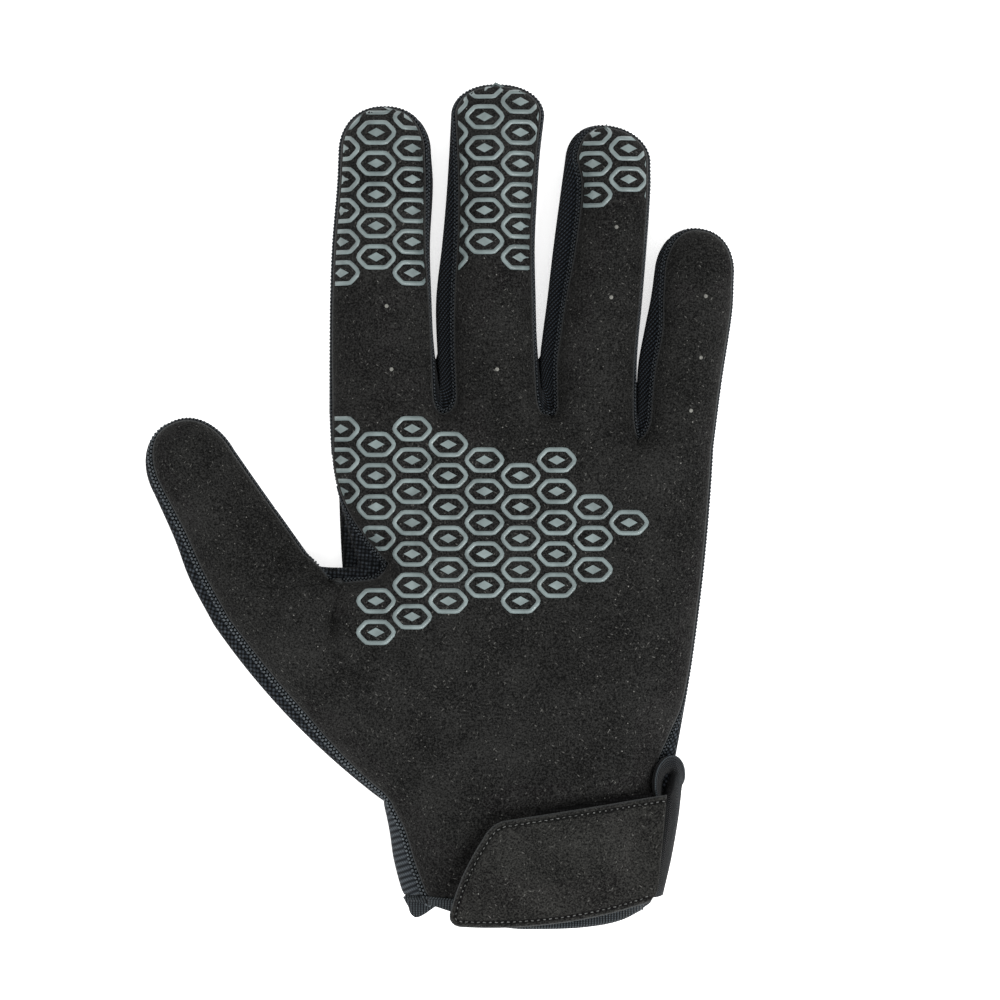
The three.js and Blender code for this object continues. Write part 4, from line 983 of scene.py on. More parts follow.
def strapPoint(along, up, rounded=True):
    fromEnd = (1 - along) * strapRun
    upper = np.array(turned(strapCorner, -fromEnd, 0, -strap["tilt"]))
    slant = mix(strap["slant"], strap["taper"], along)
    sag = strap["sag"] * 4 * along * (1 - along) + strap["endDrop"] * along**2
    lower = np.array(turned(strapCorner, -fromEnd - slant, -strap["width"] - sag, -strap["tilt"]))
    cut, endCut = 0, 0
    if rounded:
        near = min(1, along * strapRun / strap["corner"])
        nearEnd = min(1, (1 - along) * strapRun / strap["endCorner"])
        cut = strap["corner"] * (1 - math.sqrt(1 - (1 - near) ** 2)) / strap["width"]
        endCut = strap["endCorner"] * (1 - math.sqrt(1 - (1 - nearEnd) ** 2)) / strap["width"]
    point = mix(lower, upper, mix(cut + endCut, 1 - cut, up))
    point[0] -= strap["bow"] * 4 * up * (1 - up) * (1 - along) ** 4  # the free end is bowed outward
    return point


seamNearStrap = palmColumn("front", "right", 0, 4)[3 * rowCells][0] - strap["shoulder"]


def restHeight(points):
    flat = np.array(points, float)
    flat[:, 0] = np.minimum(flat[:, 0], seamNearStrap)
    return frontHeight(flat, fine=False) + strap["clearance"]


def edgeDistance(points, outline):  # distance in plan to a run of points
    p, q = outline[:-1], outline[1:]
    d = q - p
    size = np.maximum((d**2).sum(1), 1e-9)
    t = np.clip(((points[:, None, :] - p) * d).sum(2) / size, 0, 1)
    return np.sqrt((((p + t[:, :, None] * d) - points[:, None, :]) ** 2).sum(2)).min(1)


def plateMesh(name, lower, upper, flat, edge):
    rows, cols = lower.shape[:2]
    index = np.arange(rows * cols).reshape(rows, cols)
    top = index + rows * cols
    faces = []
    for grid, back in ((top, False), (index, True)):
        quads = np.stack([grid[:-1, :-1], grid[:-1, 1:], grid[1:, 1:], grid[1:, :-1]], -1).reshape(-1, 4)
        faces += (quads[:, ::-1] if back else quads).tolist()
    ring = np.concatenate([index[0, :-1], index[:-1, -1], index[-1, :0:-1], index[:0:-1, 0]])
    for a, b in zip(ring, np.roll(ring, -1)):
        faces.append([int(a), int(b), int(b) + rows * cols, int(a) + rows * cols])
    points = np.concatenate([lower.reshape(-1, 3), upper.reshape(-1, 3)])
    flats = np.concatenate([flat.reshape(-1, 2)] * 2)
    return meshPiece(name, points, faces, flats[np.array([c for face in faces for c in face])],
                     np.concatenate([edge, edge]))


def strapLayer(name, base, thickness, columnsAt, rowsAt, rounded, grooved):
    plan = np.array([[strapPoint(along, up, rounded) for along in columnsAt] for up in rowsAt])
    flatPoints = plan.reshape(-1, 2)
    points = np.concatenate([flatPoints, np.zeros((len(flatPoints), 1))], 1)
    rest = restHeight(points)
    ring = np.concatenate([plan[0], plan[1:, -1], plan[-1, -2::-1], plan[-2::-1, 0]])
    edge = edgeDistance(flatPoints, ring)
    sewn = plan[0][np.asarray(columnsAt) < 1 - 2.2 / strapRun]
    seamSide = edgeDistance(flatPoints, np.concatenate([sewn[::-1], plan[1:, 0], plan[-1, 1:]]))
    roll = min(strap["roll"], thickness * 0.6)
    inside = np.clip(edge / roll, 0, 1)
    top = rest + base + thickness - roll * (1 - np.sqrt(1 - (1 - inside) ** 2))
    if grooved:
        inset = strap["stitchInset"]
        top -= strap["groove"] * np.exp(-(((seamSide - inset) / 0.45) ** 2))
        top += 0.35 * (1 - np.exp(-np.maximum(seamSide - inset, 0) / 3.5))
        top += (0.3 * softNoise(points, 12, 21) + 0.12 * softNoise(points, 4, 8)) * np.clip(edge / 3, 0, 1)
    bottom = rest + base + roll * 0.4 * (1 - np.sqrt(1 - (1 - inside) ** 2))
    shape = plan.shape[:2]
    lower = np.concatenate([plan, bottom.reshape(*shape, 1)], 2)
    upper = np.concatenate([plan, top.reshape(*shape, 1)], 2)
    return plateMesh(name, lower, upper, plan, seamSide)


def easedSteps(count, ease):  # steps from 0 to 1, closer together near both ends
    share = np.arange(count + 1) / count
    return mix(share, (1 - np.cos(np.pi * share)) / 2, ease)


strapColumns, strapRows = easedSteps(130, 0.8), easedSteps(60, 0.6)
tabBase = strap["hookThickness"] + hand["seamGap"]
tab = strapLayer("strap_face", tabBase, strap["thickness"], strapColumns, strapRows, True, True)
finish(tab, strapSuede, ["strap_tab"])
hookEnd = 1 - (strap["tuck"] + 3 * hand["seamGap"]) / strapRun
hookColumns = 0.25 + (hookEnd - 0.25) * np.arange(61) / 60
hookRows = 0.07 + (1 + strap["hookShow"] / strap["width"] - 0.07) * np.arange(31) / 30
hookLayer = strapLayer("strap_hook_tape", 0, strap["hookThickness"], hookColumns, hookRows, False, False)
finish(hookLayer, hook, ["strap_hook"])

# The elastic leaves the strap's end, turns round the edge of the wrist and stands up in a hood at its top.
# Rows of points from the hood's rim down the band, each as places in the hand's frame and heights in mm.
elasticRows = [
    [(88.6, 34.3, 15.8), (88, 37.8, 15.5), (88.2, 41, 14.3), (89.4, 44, 13), (91.5, 45.8, 11.6),
     (93.7, 45.8, 10.2), (95.3, 44, 8.5), (95.9, 41.3, 6.5), (95.6, 38.9, 4.6), (94, 37, 3),
     (91.3, 35.9, 2.4)],
    [(89.1, 33.8, 15.6), (89.2, 37, 14.2), (89.4, 39.7, 12.6), (90.3, 42.1, 11.2), (91.8, 43.5, 10.6),
     (93.6, 43.5, 10.4), (94.9, 42.1, 9.2), (95.6, 39.7, 7), (95.3, 37.3, 4.8), (93.7, 35.6, 3.1),
     (91.3, 34.8, 2.4)],
    [(89.4, 32.9, 15.4), (89.9, 35.4, 11.5), (90.3, 37.3, 8.4), (91, 39.2, 7.6), (92.2, 40.8, 8.4),
     (93.4, 41, 10), (94.6, 40, 9.8), (95.3, 37.8, 7.6), (95, 35.6, 5), (93.4, 34, 3.2), (91, 33.2, 2.4)],
    [(88.6, 31.1, 16.3), (89.4, 32.7, 16), (90.5, 34, 15.2), (91.5, 35.4, 14.4), (92.6, 36.7, 13.6),
     (93.6, 37.3, 12.4), (94.4, 36.5, 10.6), (94.9, 34.6, 8), (94.8, 32.7, 5.2), (93.2, 31.3, 3.3),
     (90.7, 30.5, 2.4)],
    [(87.5, 29.2, 16.3), (88.8, 29.4, 16.3), (90.2, 29.7, 16.2), (91.5, 30, 15.6), (92.6, 30.2, 14.5),
     (93.6, 30.4, 12.8), (94.1, 30.2, 10.6), (94.4, 29.4, 8), (94.1, 28.3, 5.3), (92.6, 27.3, 3.4),
     (90.2, 26.7, 2.4)],
    [(86.4, 19.2, 16.3), (87.6, 19.3, 16.3), (88.9, 19.4, 16.2), (90, 19.6, 15.5), (91, 19.7, 14.3),
     (91.9, 19.7, 12.5), (92.4, 19.4, 10.3), (92.6, 18.9, 7.8), (92.2, 18.1, 5.2), (90.9, 17.3, 3.3),
     (88.7, 16.9, 2.4)],
    [(85.3, 8.1, 15.2), (86.5, 8.2, 15.1), (87.7, 8.4, 14.8), (88.7, 8.5, 14), (89.4, 8.6, 12.8),
     (89.9, 8.8, 11.2), (90.2, 8.8, 9.4), (90.2, 8.5, 7.3), (89.8, 8.1, 5.1), (88.6, 7.6, 3.3),
     (86.4, 7.3, 2.4)],
]


# The hood's hollow and the strip beside the strap's edge: places and radii in mm. The band is painted with
# shade there: near black in the hollow and in the strap's shadow beside its edge.
hollow = np.array([(92.0, 41.7, 1.0), (90.4, 40.6, 1.7), (90.2, 38.0, 2.1), (90.9, 35.5, 1.9),
                   (91.4, 33.0, 1.5), (91.3, 30.0, 1.1), (90.6, 24, 0.9), (89.3, 13.0, 0.6)])
elasticCells = {"down": 61, "along": 81, "hollow": 12, "rimEnd": 72}
farFromSeam = 9.0  # in mm, for pieces that have no overlocked seam


def runLength(points, axis):  # length from the first point on, along one axis of a grid or a run
    step = np.linalg.norm(np.diff(points, axis=axis), axis=-1)
    return np.insert(np.cumsum(step, axis=axis), 0, 0, axis=axis)


def elasticLoop():
    grid = spline(np.array(elasticRows), elasticCells["down"])
    grid = spline(grid.transpose(1, 0, 2), elasticCells["along"]).transpose(1, 0, 2)
    normal = np.cross(np.gradient(grid, axis=1), np.gradient(grid, axis=0))
    normal /= np.maximum(np.linalg.norm(normal, axis=2, keepdims=True), 1e-9)
    normal *= np.sign(normal[40, 40, 0])  # outwards is to the right, away from the wrist
    inner = grid - normal * strap["elasticThickness"]
    along, down = runLength(grid, 1), runLength(grid, 0)
    # distance from the spine of the painted shade; the band's material darkens near it
    runs = np.linspace(0, 1, elasticCells["hollow"])[None, :, None]
    spine = (hollow[:-1, None] + (hollow[1:] - hollow[:-1])[:, None] * runs).reshape(-1, 3)
    flatGrid = grid.reshape(-1, 3)
    away = np.linalg.norm(flatGrid[:, None, :2] - spine[None, :, :2], axis=2) - spine[None, :, 2]
    paintedShadeDistance = np.maximum(away.min(1), 0)
    return plateMesh("elastic_loop", inner, grid, np.stack([along, down], 2), paintedShadeDistance), grid


def tube(name, path, radius, sides=10):
    ahead = np.gradient(path, axis=0)
    ahead /= np.linalg.norm(ahead, axis=1, keepdims=True)
    first = np.cross(ahead, [0.3, 0.2, 1.0])  # any direction that the path never takes
    first /= np.linalg.norm(first, axis=1, keepdims=True)
    second = np.cross(ahead, first)
    turn = np.arange(sides) / sides * 2 * math.pi
    fromEnd = np.minimum(np.arange(len(path)), np.arange(len(path))[::-1])
    taper = radius * np.sqrt(np.clip(fromEnd / 4, 0.05, 1))
    rings = (path[:, None, :] + taper[:, None, None] * (first[:, None, :] * np.cos(turn)[None, :, None]
                                                        + second[:, None, :] * np.sin(turn)[None, :, None]))
    index = np.arange(len(path) * sides).reshape(len(path), sides)
    after = np.roll(index, -1, 1)
    faces = np.stack([index[:-1], index[1:], after[1:], after[:-1]], -1).reshape(-1, 4).tolist()
    faces += [index[0].tolist(), index[-1, ::-1].tolist()]
    run = runLength(path, 0)
    flats = np.stack([np.repeat(turn[None, :] * radius, len(path), 0), np.repeat(run[:, None], sides, 1)], 2)
    flats = flats.reshape(-1, 2)[[c for face in faces for c in face]]
    return meshPiece(name, rings.reshape(-1, 3), faces, flats, np.full(len(path) * sides, farFromSeam))


loop, loopGrid = elasticLoop()
finish(loop, band, ["strap_elastic"])
rim = tube("elastic_rolled_edge", loopGrid[0, :elasticCells["rimEnd"]] - np.array([0, 0, 0.3]), 0.42)
finish(rim, bindingTape, [])

# The binding's folded tail at the left end of the hem: a soft flat lobe
tail = {"outline": [(21.06, 8.775), (24.57, 9.18), (29.97, 9.18), (31.05, 6.75),
                    (28.35, 5.13), (25.65, 3.24), (23.49, 2.43), (22.005, 3.51),
                    (21.33, 5.4), (20.385, 7.29)], "height": 7.6, "thickness": 2.2,
        "rings": 9, "cells": 12}


def lobe(name, sizes):
    corners, cells, rings = np.array(sizes["outline"]), sizes["cells"], sizes["rings"]
    around = spline(np.concatenate([corners[-1:], corners, corners[:2]]), cells * (len(corners) + 2) + 1)
    around = around[cells:cells * (len(corners) + 1)]
    middle = corners.mean(0)
    share = np.sin(np.arange(1, rings + 1) / rings * math.pi / 2)
    plan = middle + (around - middle)[None, :, :] * share[:, None, None]
    puff = sizes["thickness"] / 2 * np.sqrt(1 - share**2 * 0.999)
    points, faces = [], []
    count = len(around)
    half = 1 + count * rings
    outer = 1 + (rings - 1) * count
    for base, side in ((0, 1), (half, -1)):
        level = np.repeat((sizes["height"] + side * puff)[:, None, None], count, 1)
        points += [(*middle, sizes["height"] + side * sizes["thickness"] / 2)]
        points += np.concatenate([plan, level], 2).reshape(-1, 3).tolist()
        for k in range(count):
            n = (k + 1) % count
            faces.append([base, base + 1 + k, base + 1 + n])
            for first in range(base + 1, base + outer, count):
                faces.append([first + k, first + count + k, first + count + n, first + n])
    faces += [[outer + k, half + outer + k, half + outer + (k + 1) % count, outer + (k + 1) % count]
              for k in range(count)]
    points = np.array(points)
    flat = points[[corner for face in faces for corner in face]][:, :2]
    piece = meshPiece(name, points, faces, flat, np.full(len(points), farFromSeam))
    shape = bmesh.new()
    shape.from_mesh(piece.data)
    bmesh.ops.recalc_face_normals(shape, faces=shape.faces)
    shape.to_mesh(piece.data)
    shape.free()
    return piece


finish(lobe("hem_tail", tail), bindingTape, [])
print("strap made")

# Stitches: one tree lays a thread stitch at every pitch of a run of points, turned to the surface
stitchRuns = {
    "overlock": {"pitch": 0.5, "length": 0.85, "radius": 0.28, "tilt": 34, "offset": 0.36, "lift": 0.08},
    "outerChain": {"pitch": 0.55, "length": 0.92, "radius": 0.4, "tilt": 28, "offset": 0.48, "lift": 0.06},
    "strap": {"pitch": 1.6, "length": 1.05, "radius": 0.19, "tilt": 8, "offset": 0, "lift": 0.04},
}


def newTree(name, sizes):  # a tree that takes points or edges, sizes and a material, and gives a mesh
    tree = bpy.data.node_groups.new(name, "GeometryNodeTree")
    kinds = {"Geometry": "Geometry", **dict.fromkeys(sizes, "Float"), "Material": "Material"}
    for key, kind in kinds.items():
        tree.interface.new_socket(name=key, in_out="INPUT", socket_type="NodeSocket" + kind)
    tree.interface.new_socket(name="Geometry", in_out="OUTPUT", socket_type="NodeSocketGeometry")
    return tree, addNode(tree, "NodeGroupInput").outputs


def transformed(tree, shape, scale):
    return addNode(tree, "GeometryNodeTransform", {"Geometry": shape, "Scale": scale}).outputs["Geometry"]


def vectorOf(tree, x, y, z):
    return addNode(tree, "ShaderNodeCombineXYZ", {0: x, 1: y, 2: z}).outputs["Vector"]


def endTree(tree, given, instances, smooth):
    mesh = addNode(tree, "GeometryNodeRealizeInstances", {"Geometry": instances}).outputs["Geometry"]
    if smooth:
        mesh = addNode(tree, "GeometryNodeSetShadeSmooth", {"Geometry": mesh}).outputs["Geometry"]
    done = addNode(tree, "GeometryNodeSetMaterial", {"Geometry": mesh, "Material": given["Material"]})
    addNode(tree, "NodeGroupOutput", {"Geometry": done.outputs["Geometry"]})
    return tree


def stitchTree():
    tree, given = newTree("threadStitches", stitchRuns["overlock"])
    curve = addNode(tree, "GeometryNodeMeshToCurve", {"Mesh": given["Geometry"]}).outputs["Curve"]
    spaced = addNode(tree, "GeometryNodeResampleCurve", {"Curve": curve})
    spaced.mode = "LENGTH"
    tree.links.new(given["pitch"], spaced.inputs["Length"])
    up = addNode(tree, "GeometryNodeInputNamedAttribute", {"Name": "up"}, data_type="FLOAT_VECTOR").outputs[0]
    tangent = addNode(tree, "GeometryNodeInputTangent").outputs["Tangent"]
    facing = addNode(tree, "FunctionNodeAxesToRotation", {"Primary Axis": up, "Secondary Axis": tangent},
                     primary_axis="Z", secondary_axis="X").outputs["Rotation"]
    number = addNode(tree, "GeometryNodeInputIndex").outputs["Index"]
    sign = calc(tree, "MULTIPLY_ADD", calc(tree, "MODULO", number, 2.0), 2.0, -1.0)  # -1 and 1 in turn
    tilt = vectorOf(tree, 0, 0, calc(tree, "MULTIPLY", sign, given["tilt"]))
    facing = addNode(tree, "FunctionNodeRotateRotation", {"Rotation": facing, "Rotate By": tilt},
                     rotation_space="LOCAL").outputs["Rotation"]
    ball = addNode(tree, "GeometryNodeMeshUVSphere", {"Segments": 6, "Rings": 5}).outputs["Mesh"]
    half = calc(tree, "MULTIPLY", given["length"], 0.5)
    thread = transformed(tree, ball, vectorOf(tree, half, given["radius"], given["radius"]))
    laid = addNode(tree, "GeometryNodeInstanceOnPoints", {
        "Points": spaced.outputs["Curve"], "Instance": thread, "Rotation": facing}).outputs["Instances"]
    shift = vectorOf(tree, 0, calc(tree, "MULTIPLY", sign, given["offset"]), given["lift"])
    moved = addNode(tree, "GeometryNodeTranslateInstances", {
        "Instances": laid, "Translation": shift, "Local Space": True}).outputs["Instances"]
    return endTree(tree, given, moved, True)


def madeByTree(name, source, tree, values):  # runs a tree, with its sizes in mm, and keeps a plain mesh
    modifier = source.modifiers.new("made", "NODES")
    modifier.node_group = tree
    for item in tree.interface.items_tree:
        if item.in_out == "INPUT" and item.name in values:
            value = values[item.name]
            modifier[item.identifier] = value / 1000 if isinstance(value, (int, float)) else value
    bpy.context.view_layer.update()
    evaluated = source.evaluated_get(bpy.context.evaluated_depsgraph_get())
    result = bpy.data.meshes.new_from_object(evaluated)
    result.name = name
    piece = inScene(name, result)
    bpy.data.objects.remove(source)
    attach(piece, "root")
    return piece


def runObject(name, runs):  # edges through runs of points, each with the direction out of the surface
    points, ups, edges = [], [], []
    for run, up in runs:
        first = len(points)
        points += ((run + toFrame) / 1000).tolist()
        ups += up.tolist()
        edges += [(first + i, first + i + 1) for i in range(len(run) - 1)]
    lineMesh = bpy.data.meshes.new(name)
    lineMesh.from_pydata(points, edges, [])
    attribute = lineMesh.attributes.new("up", "FLOAT_VECTOR", "POINT")
    attribute.data.foreach_set("vector", np.array(ups, np.float32).ravel())
    return inScene(name, lineMesh)


def seamRun(name, down):  # line on a side strip, some way down from its seam with the suede
    grid = strips[name]
    along = np.gradient(grid, axis=0)
    length = runLength(grid, 1)
    points, ups = [], []
    for i, row in enumerate(grid):
        if length[i, -1] < 2 * down:
            continue
        points.append([np.interp(down, length[i], row[:, k]) for k in range(3)])
        fall = np.array([np.interp(down + 0.4, length[i], row[:, k])
                         - np.interp(max(down - 0.4, 0), length[i], row[:, k]) for k in range(3)])
        up = np.cross(along[i, 1], fall)
        if up[2] < 0:
            up = -up
        ups.append(up / max(np.linalg.norm(up), 1e-9))
    return np.array(points), np.array(ups)


def joined(down, *parts):
    runs = [seamRun(name, down) for name, backwards in parts]
    runs = [(p[::-1], u[::-1]) if backwards else (p, u) for (p, u), (name, backwards) in zip(runs, parts)]
    points = np.concatenate([p for p, u in runs])
    ups = np.concatenate([u for p, u in runs])
    keep = np.concatenate([[True], np.linalg.norm(np.diff(points, axis=0), axis=1) > 0.05])
    return points[keep], ups[keep]


seam = joined(0.62, ("thumbRight", True), ("palmSplit", False), ("indexLeft", False), ("indexRight", True),
              ("middleLeft", False), ("middleRight", True), ("ringLeft", False), ("ringRight", True),
              ("littleLeft", False), ("littleRight", True), ("palmRight", True))
tree = stitchTree()


def stitches(name, runs, sizes, material):
    turn = math.radians(sizes["tilt"]) * 1000  # an angle, which the tree's sizes in mm would make smaller
    values = {**sizes, "tilt": turn, "Material": material}
    piece = madeByTree(name, runObject(name + "_run", runs), tree, values)
    print(name, len(piece.data.polygons), "faces")


stitches("seam_overlock", [seam], stitchRuns["overlock"], seamThread)
thumbSide = joined(0.8, ("palmLeft", False), ("thumbLeft", False))
stitches("thumb_side_chain", [thumbSide], stitchRuns["outerChain"], chainThread)

# The strap's stitch line: along its upper edge, round its free end and back along its lower edge
inset = strap["stitchInset"]
ringPlan = np.array([strapPoint(a, 0) for a in np.linspace(0.965, 0, 120)]
                    + [strapPoint(0, u) for u in np.linspace(0, 1, 40)[1:-1]]
                    + [strapPoint(a, 1) for a in np.linspace(0, 1, 120)])
direction = np.gradient(ringPlan, axis=0)
direction /= np.maximum(np.linalg.norm(direction, axis=1), 1e-9)[:, None]
insetPlan = ringPlan + np.stack([direction[:, 1], -direction[:, 0]], 1) * inset
away = edgeDistance(insetPlan, ringPlan)
insetPlan = insetPlan[away > inset * 0.93]
insetPlan = insetPlan[insetPlan[:, 0] < strapPoint(1, 0.5)[0] + 0.02 * (insetPlan[:, 1] - 20)]
insetPoints = np.concatenate([insetPlan, np.zeros((len(insetPlan), 1))], 1)
insetPoints[:, 2] = restHeight(insetPoints) + tabBase + strap["thickness"] - strap["groove"] + 0.1
stitches("strap_stitches", [(insetPoints, np.tile([0.0, 0, 1], (len(insetPoints), 1)))], stitchRuns["strap"],
         strapThread)
print("stitches made")

# Pricked holes and needle holes: one tree sets a flat dot on each of some points
def dotTree():
    tree, given = newTree("flatDots", ("radius", "height"))
    ball = addNode(tree, "GeometryNodeMeshUVSphere", {"Segments": 12, "Rings": 6}).outputs["Mesh"]
    dot = transformed(tree, ball, vectorOf(tree, given["radius"], given["radius"], given["height"]))
    laid = addNode(tree, "GeometryNodeInstanceOnPoints", {"Points": given["Geometry"], "Instance": dot})
    return endTree(tree, given, laid.outputs["Instances"], True)


dotMaker = dotTree()


def dots(name, points, radius, height, material):
    marks = bpy.data.meshes.new(name + "_points")
    marks.from_pydata(((points + toFrame) / 1000).tolist(), [], [])
    madeByTree(name, inScene(marks.name, marks), dotMaker,
               {"radius": radius, "height": height, "Material": material})


run = runLength(insetPoints, 0)
needleAt = np.arange(stitchRuns["strap"]["pitch"] / 2, run[-1], stitchRuns["strap"]["pitch"])
needleHoles = np.stack([np.interp(needleAt, run, insetPoints[:, k]) for k in range(3)], 1)
dots("strap_needle_holes", needleHoles, 0.3, 0.2, prickDark)  # radius and height in mm


def onSuede(places, lift):  # points given across and up the palm in mm, set on the suede
    points = np.array([[x, y, 0.0] for x, y in places])
    points[:, 2] = frontHeight(points) + lift
    return points


prickedPale = [(15.7, 167.4), (17.0, 150.4), (45.4, 150.4), (77.5, 188.7), (76.1, 169.8), (101.5, 170.1),
               (100.2, 153.6), (97.5, 139.3)]
prickedDark = [(46.7, 167.9), (73.4, 150.7)]
dots("pricked_holes_pale", onSuede(prickedPale, 0.0), 0.55, 0.14, prickPale)
dots("pricked_holes_dark", onSuede(prickedDark, -0.02), 0.5, 0.12, prickDark)

# Grip print: raised rubber hexagons, each with a lozenge in it, staggered like a honeycomb
grip = {"width": 11.6, "height": 6.8, "line": 1.15, "raise": 0.16, "coreWidth": 4.6, "coreHeight": 2.5,
        "corner": 1.1, "step": 0.9, "columnPitch": 9.7, "rowPitch": 8.4, "firstColumn": 3.2, "sink": 0.02,
        "seamInset": 0.7, "fingerMargin": 3.5, "zoneMargin": 1.0, "fingersUp": 12, "leftEnd": 2.6,
        "webMargin": 0.6}
hexagonStretch = 1.1547  # a six-sided ring of width 1 is this much narrower the other way


def gripTree():
    tree, given = newTree("gripPrint", grip)

    def inner(key):  # the line's middle lies half a line inside the motif's size
        return calc(tree, "SUBTRACT", given[key], given["line"])

    scale = vectorOf(tree, inner("width"), calc(tree, "MULTIPLY", inner("height"), hexagonStretch), 1.0)
    six = addNode(tree, "GeometryNodeMeshCircle", {"Vertices": 6, "Radius": 0.5}).outputs["Mesh"]
    outline = addNode(tree, "GeometryNodeMeshToCurve", {"Mesh": transformed(tree, six, scale)})
    rounded = addNode(tree, "GeometryNodeFilletCurve", {"Curve": outline.outputs["Curve"],
                                                        "Radius": given["corner"]}, mode="POLY")
    rounded.inputs[1].default_value = 3
    fine = addNode(tree, "GeometryNodeResampleCurve", {"Curve": rounded.outputs["Curve"],
                                                       "Length": given["step"]}, mode="LENGTH")
    profile = addNode(tree, "GeometryNodeCurvePrimitiveQuadrilateral", {"Width": given["line"],
                                                                        "Height": given["raise"]})
    ring = addNode(tree, "GeometryNodeCurveToMesh", {"Curve": fine.outputs["Curve"],
                                                     "Profile Curve": profile.outputs["Curve"]})
    four = addNode(tree, "GeometryNodeMeshCylinder", {"Vertices": 4, "Side Segments": 1, "Fill Segments": 3,
                                                      "Radius": 0.5, "Depth": 1.0}).outputs["Mesh"]
    core = transformed(tree, four, vectorOf(tree, given["coreWidth"], given["coreHeight"], given["raise"]))
    motif = tree.nodes.new("GeometryNodeJoinGeometry")
    tree.links.new(ring.outputs["Mesh"], motif.inputs[0])
    tree.links.new(core, motif.inputs[0])
    laid = addNode(tree, "GeometryNodeInstanceOnPoints", {"Points": given["Geometry"],
                                                          "Instance": motif.outputs["Geometry"]})
    return endTree(tree, given, laid.outputs["Instances"], False)


def sideX(name, y):  # where a front seam runs at a height of the hand
    run = sides["front"][name]
    top = int(run[:, 1].argmax())
    return np.interp(y, run[:top + 1, 1], run[:top + 1, 0])


# zones in mm up the hand: lowest, highest, and the seams or places that bound them
gripZones = [
    ("index", 174.4, 222.5, None, None), ("middle", 181.4, 228.4, None, None),
    ("ring", 197.6, 216.5, None, None),
    ("palm", 128.6, 136.2, 1.0, 38.0), ("palm", 119.8, 128.0, 3.0, 69.0), ("palm", 111.4, 119.2, 4.0, 77.0),
    ("palm", 102.6, 110.6, 6.0, 82.0), ("palm", 94.4, 102.0, 14.5, 77.0), ("palm", 86.2, 93.8, 6.5, 69.0),
    ("palm", 79.0, 85.8, 6.5, 29.0),
]
columnsAcross = np.arange(-2, 12)
centres = []
for column in columnsAcross:
    for row in range(0, 30):
        x = column * grip["columnPitch"] + grip["firstColumn"]
        y = row * grip["rowPitch"] + (grip["rowPitch"] / 2 if column % 2 else 0)
        for name, low, high, left, right in gripZones:
            if not low - grip["zoneMargin"] <= y <= high + grip["zoneMargin"]:
                continue
            if left is None:
                left = sideX(name + "Left", y) - grip["fingerMargin"]
                right = sideX(name + "Right", y) + grip["fingerMargin"]
            if left - grip["zoneMargin"] <= x <= right + grip["zoneMargin"]:
                centres.append((x, y))
                break
marks = bpy.data.meshes.new("grip_points")
marks.from_pydata([(x / 1000, y / 1000, 0) for x, y in centres], [], [])
gripPrint = madeByTree("grip_print", inScene("grip_points", marks), gripTree(),
                       {**grip, "Material": silicone})
spots = np.empty(len(gripPrint.data.vertices) * 3, np.float32)
gripPrint.data.vertices.foreach_get("co", spots)
spots = spots.reshape(-1, 3).astype(float) * 1000
allowedLeft, allowedRight = np.full(len(spots), -99.0), np.full(len(spots), 999.0)
onFinger = spots[:, 1] > hand["palmLength"] + grip["fingersUp"]
middles = np.array([(sideX(name + "Left", spots[:, 1]) + sideX(name + "Right", spots[:, 1])) / 2
                    for name in fingerNames[:3]])
nearest = np.abs(middles - spots[:, 0]).argmin(0)
for k, name in enumerate(fingerNames[:3]):
    mine = onFinger & (nearest == k)
    allowedLeft[mine] = sideX(name + "Left", spots[mine, 1]) + grip["seamInset"]
    allowedRight[mine] = sideX(name + "Right", spots[mine, 1]) - grip["seamInset"]
splitLine = palmColumn("front", "split", thumbRow, knuckleRow)
allowedLeft[~onFinger] = np.interp(spots[~onFinger, 1], splitLine[:, 1], splitLine[:, 0]) + grip["seamInset"]
allowedLeft[~onFinger & (spots[:, 1] < splitLine[0, 1])] = grip["leftEnd"]
beyond = (spots[:, 0] < allowedLeft) | (spots[:, 0] > allowedRight)
spots[:, 0] = np.clip(spots[:, 0], allowedLeft, allowedRight)
webSeam = sides["front"]["thumbRight"]
webSeam = webSeam[webSeam[:, 0] > 1.0]
order = np.argsort(webSeam[:, 0])
webLow = np.interp(spots[:, 0], webSeam[order, 0], webSeam[order, 1]) - grip["seamInset"]
overWeb = (~onFinger & (spots[:, 0] < webSeam[0, 0] + grip["webMargin"]) & (spots[:, 1] > webLow)
           & (spots[:, 1] < webSeam[0, 1] + 1))
beyond |= overWeb
spots[overWeb, 1] = webLow[overWeb]
spots[:, 2] += frontHeight(spots) + grip["raise"] / 2 - grip["sink"]
gripPrint.data.vertices.foreach_set("co", ((spots + toFrame) / 1000).ravel())
shell = bmesh.new()
shell.from_mesh(gripPrint.data)
shell.verts.ensure_lookup_table()
gone = [face for face in shell.faces if all(beyond[v.index] for v in face.verts)]
bmesh.ops.delete(shell, geom=gone, context="FACES")
shell.to_mesh(gripPrint.data)
shell.free()
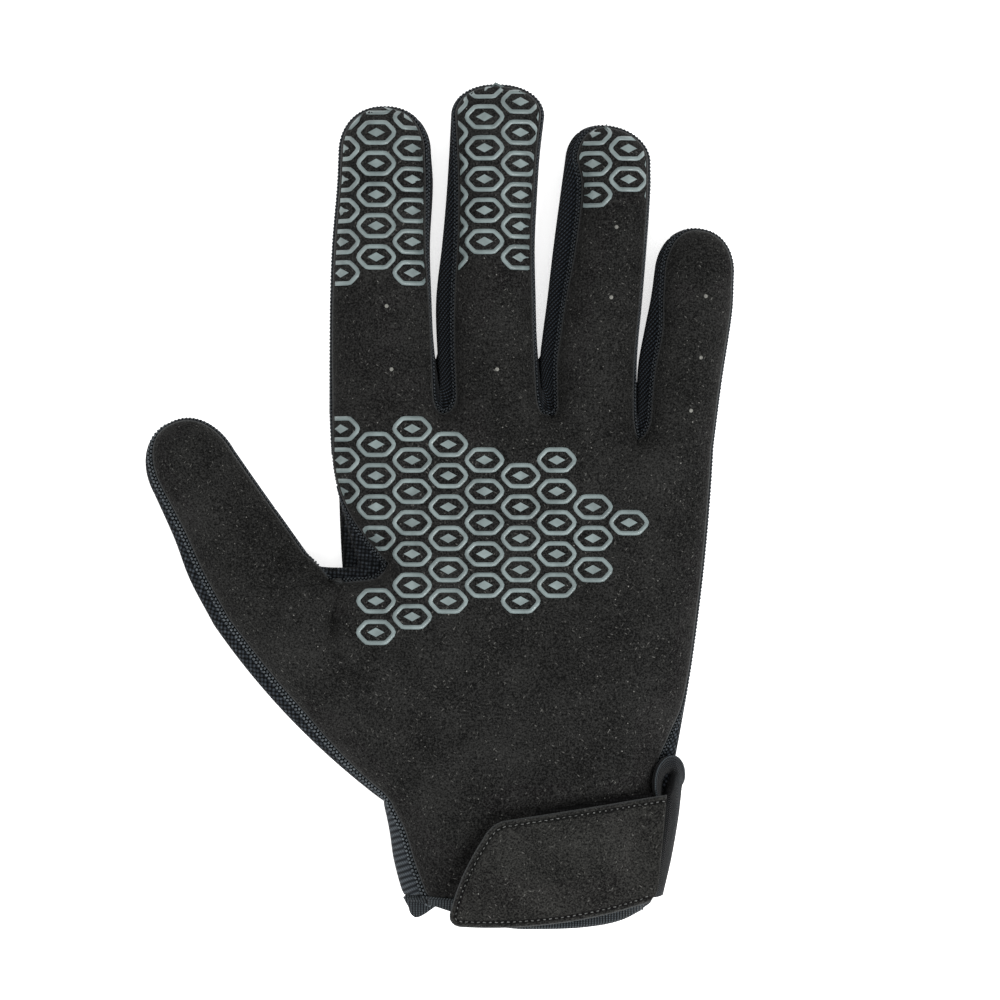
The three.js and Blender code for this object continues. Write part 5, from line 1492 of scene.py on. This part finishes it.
print("grip print made,", len(centres), "motifs,", len(gripPrint.data.polygons), "faces")

# Floor, light and a long-lens camera straight above, as in the photograph
stageSet = {"floor": "#fafafa", "floorReach": 4.0, "floorLevel": -0.0004, "floorGlow": 0.6, "daylight": 1.02,
            "widthInView": 0.27, "lens": 190, "sensor": 36, "centre": (0.0163, 0.0013), "focusLevel": 0.009}
floorMesh = bpy.data.meshes.new("floor")
floorMesh.from_pydata([(x * stageSet["floorReach"], y * stageSet["floorReach"], stageSet["floorLevel"])
                       for x, y in ((-1, -1), (1, -1), (1, 1), (-1, 1))], [], [(0, 1, 2, 3)])
floor = inScene("floor", floorMesh)
material, tree, shader = newMaterial("paleFloor")
shader.inputs["Base Color"].default_value = linear(stageSet["floor"])
shader.inputs["Roughness"].default_value = 0.9
shader.inputs["Specular IOR Level"].default_value = 0.1
shader.inputs["Emission Color"].default_value = linear("#ffffff")
shader.inputs["Emission Strength"].default_value = stageSet["floorGlow"]
floor.data.materials.append(material)


def areaLight(name, place, size, power, target=(0.016, 0, 0.01)):
    data = bpy.data.lights.new(name, "AREA")
    data.shape, data.size, data.energy = "DISK", size, power
    lamp = inScene(name, data)
    lamp.location = place
    lamp.rotation_euler = (Vector(target) - Vector(place)).to_track_quat("-Z", "Y").to_euler()


areaLight("keyLight", (0.75, -0.6, 0.8), 0.5, 13)
areaLight("fillLight", (-0.9, 0.1, 0.9), 0.9, 4)
bpy.context.scene.view_settings.view_transform = "Standard"
world = bpy.data.worlds.new("softRoom")
bpy.context.scene.world = world
world.use_nodes = True
background = next(n for n in world.node_tree.nodes if n.type == "BACKGROUND")
background.inputs["Color"].default_value = linear("#ffffff")
background.inputs["Strength"].default_value = stageSet["daylight"]

camera = bpy.data.cameras.new("camera")
camera.lens, camera.sensor_width = stageSet["lens"], stageSet["sensor"]
cameraObject = inScene("camera", camera)
distance = stageSet["lens"] / stageSet["sensor"] * stageSet["widthInView"]
cameraObject.location = (*stageSet["centre"], distance + stageSet["focusLevel"])
bpy.context.scene.camera = cameraObject
print("stage set")
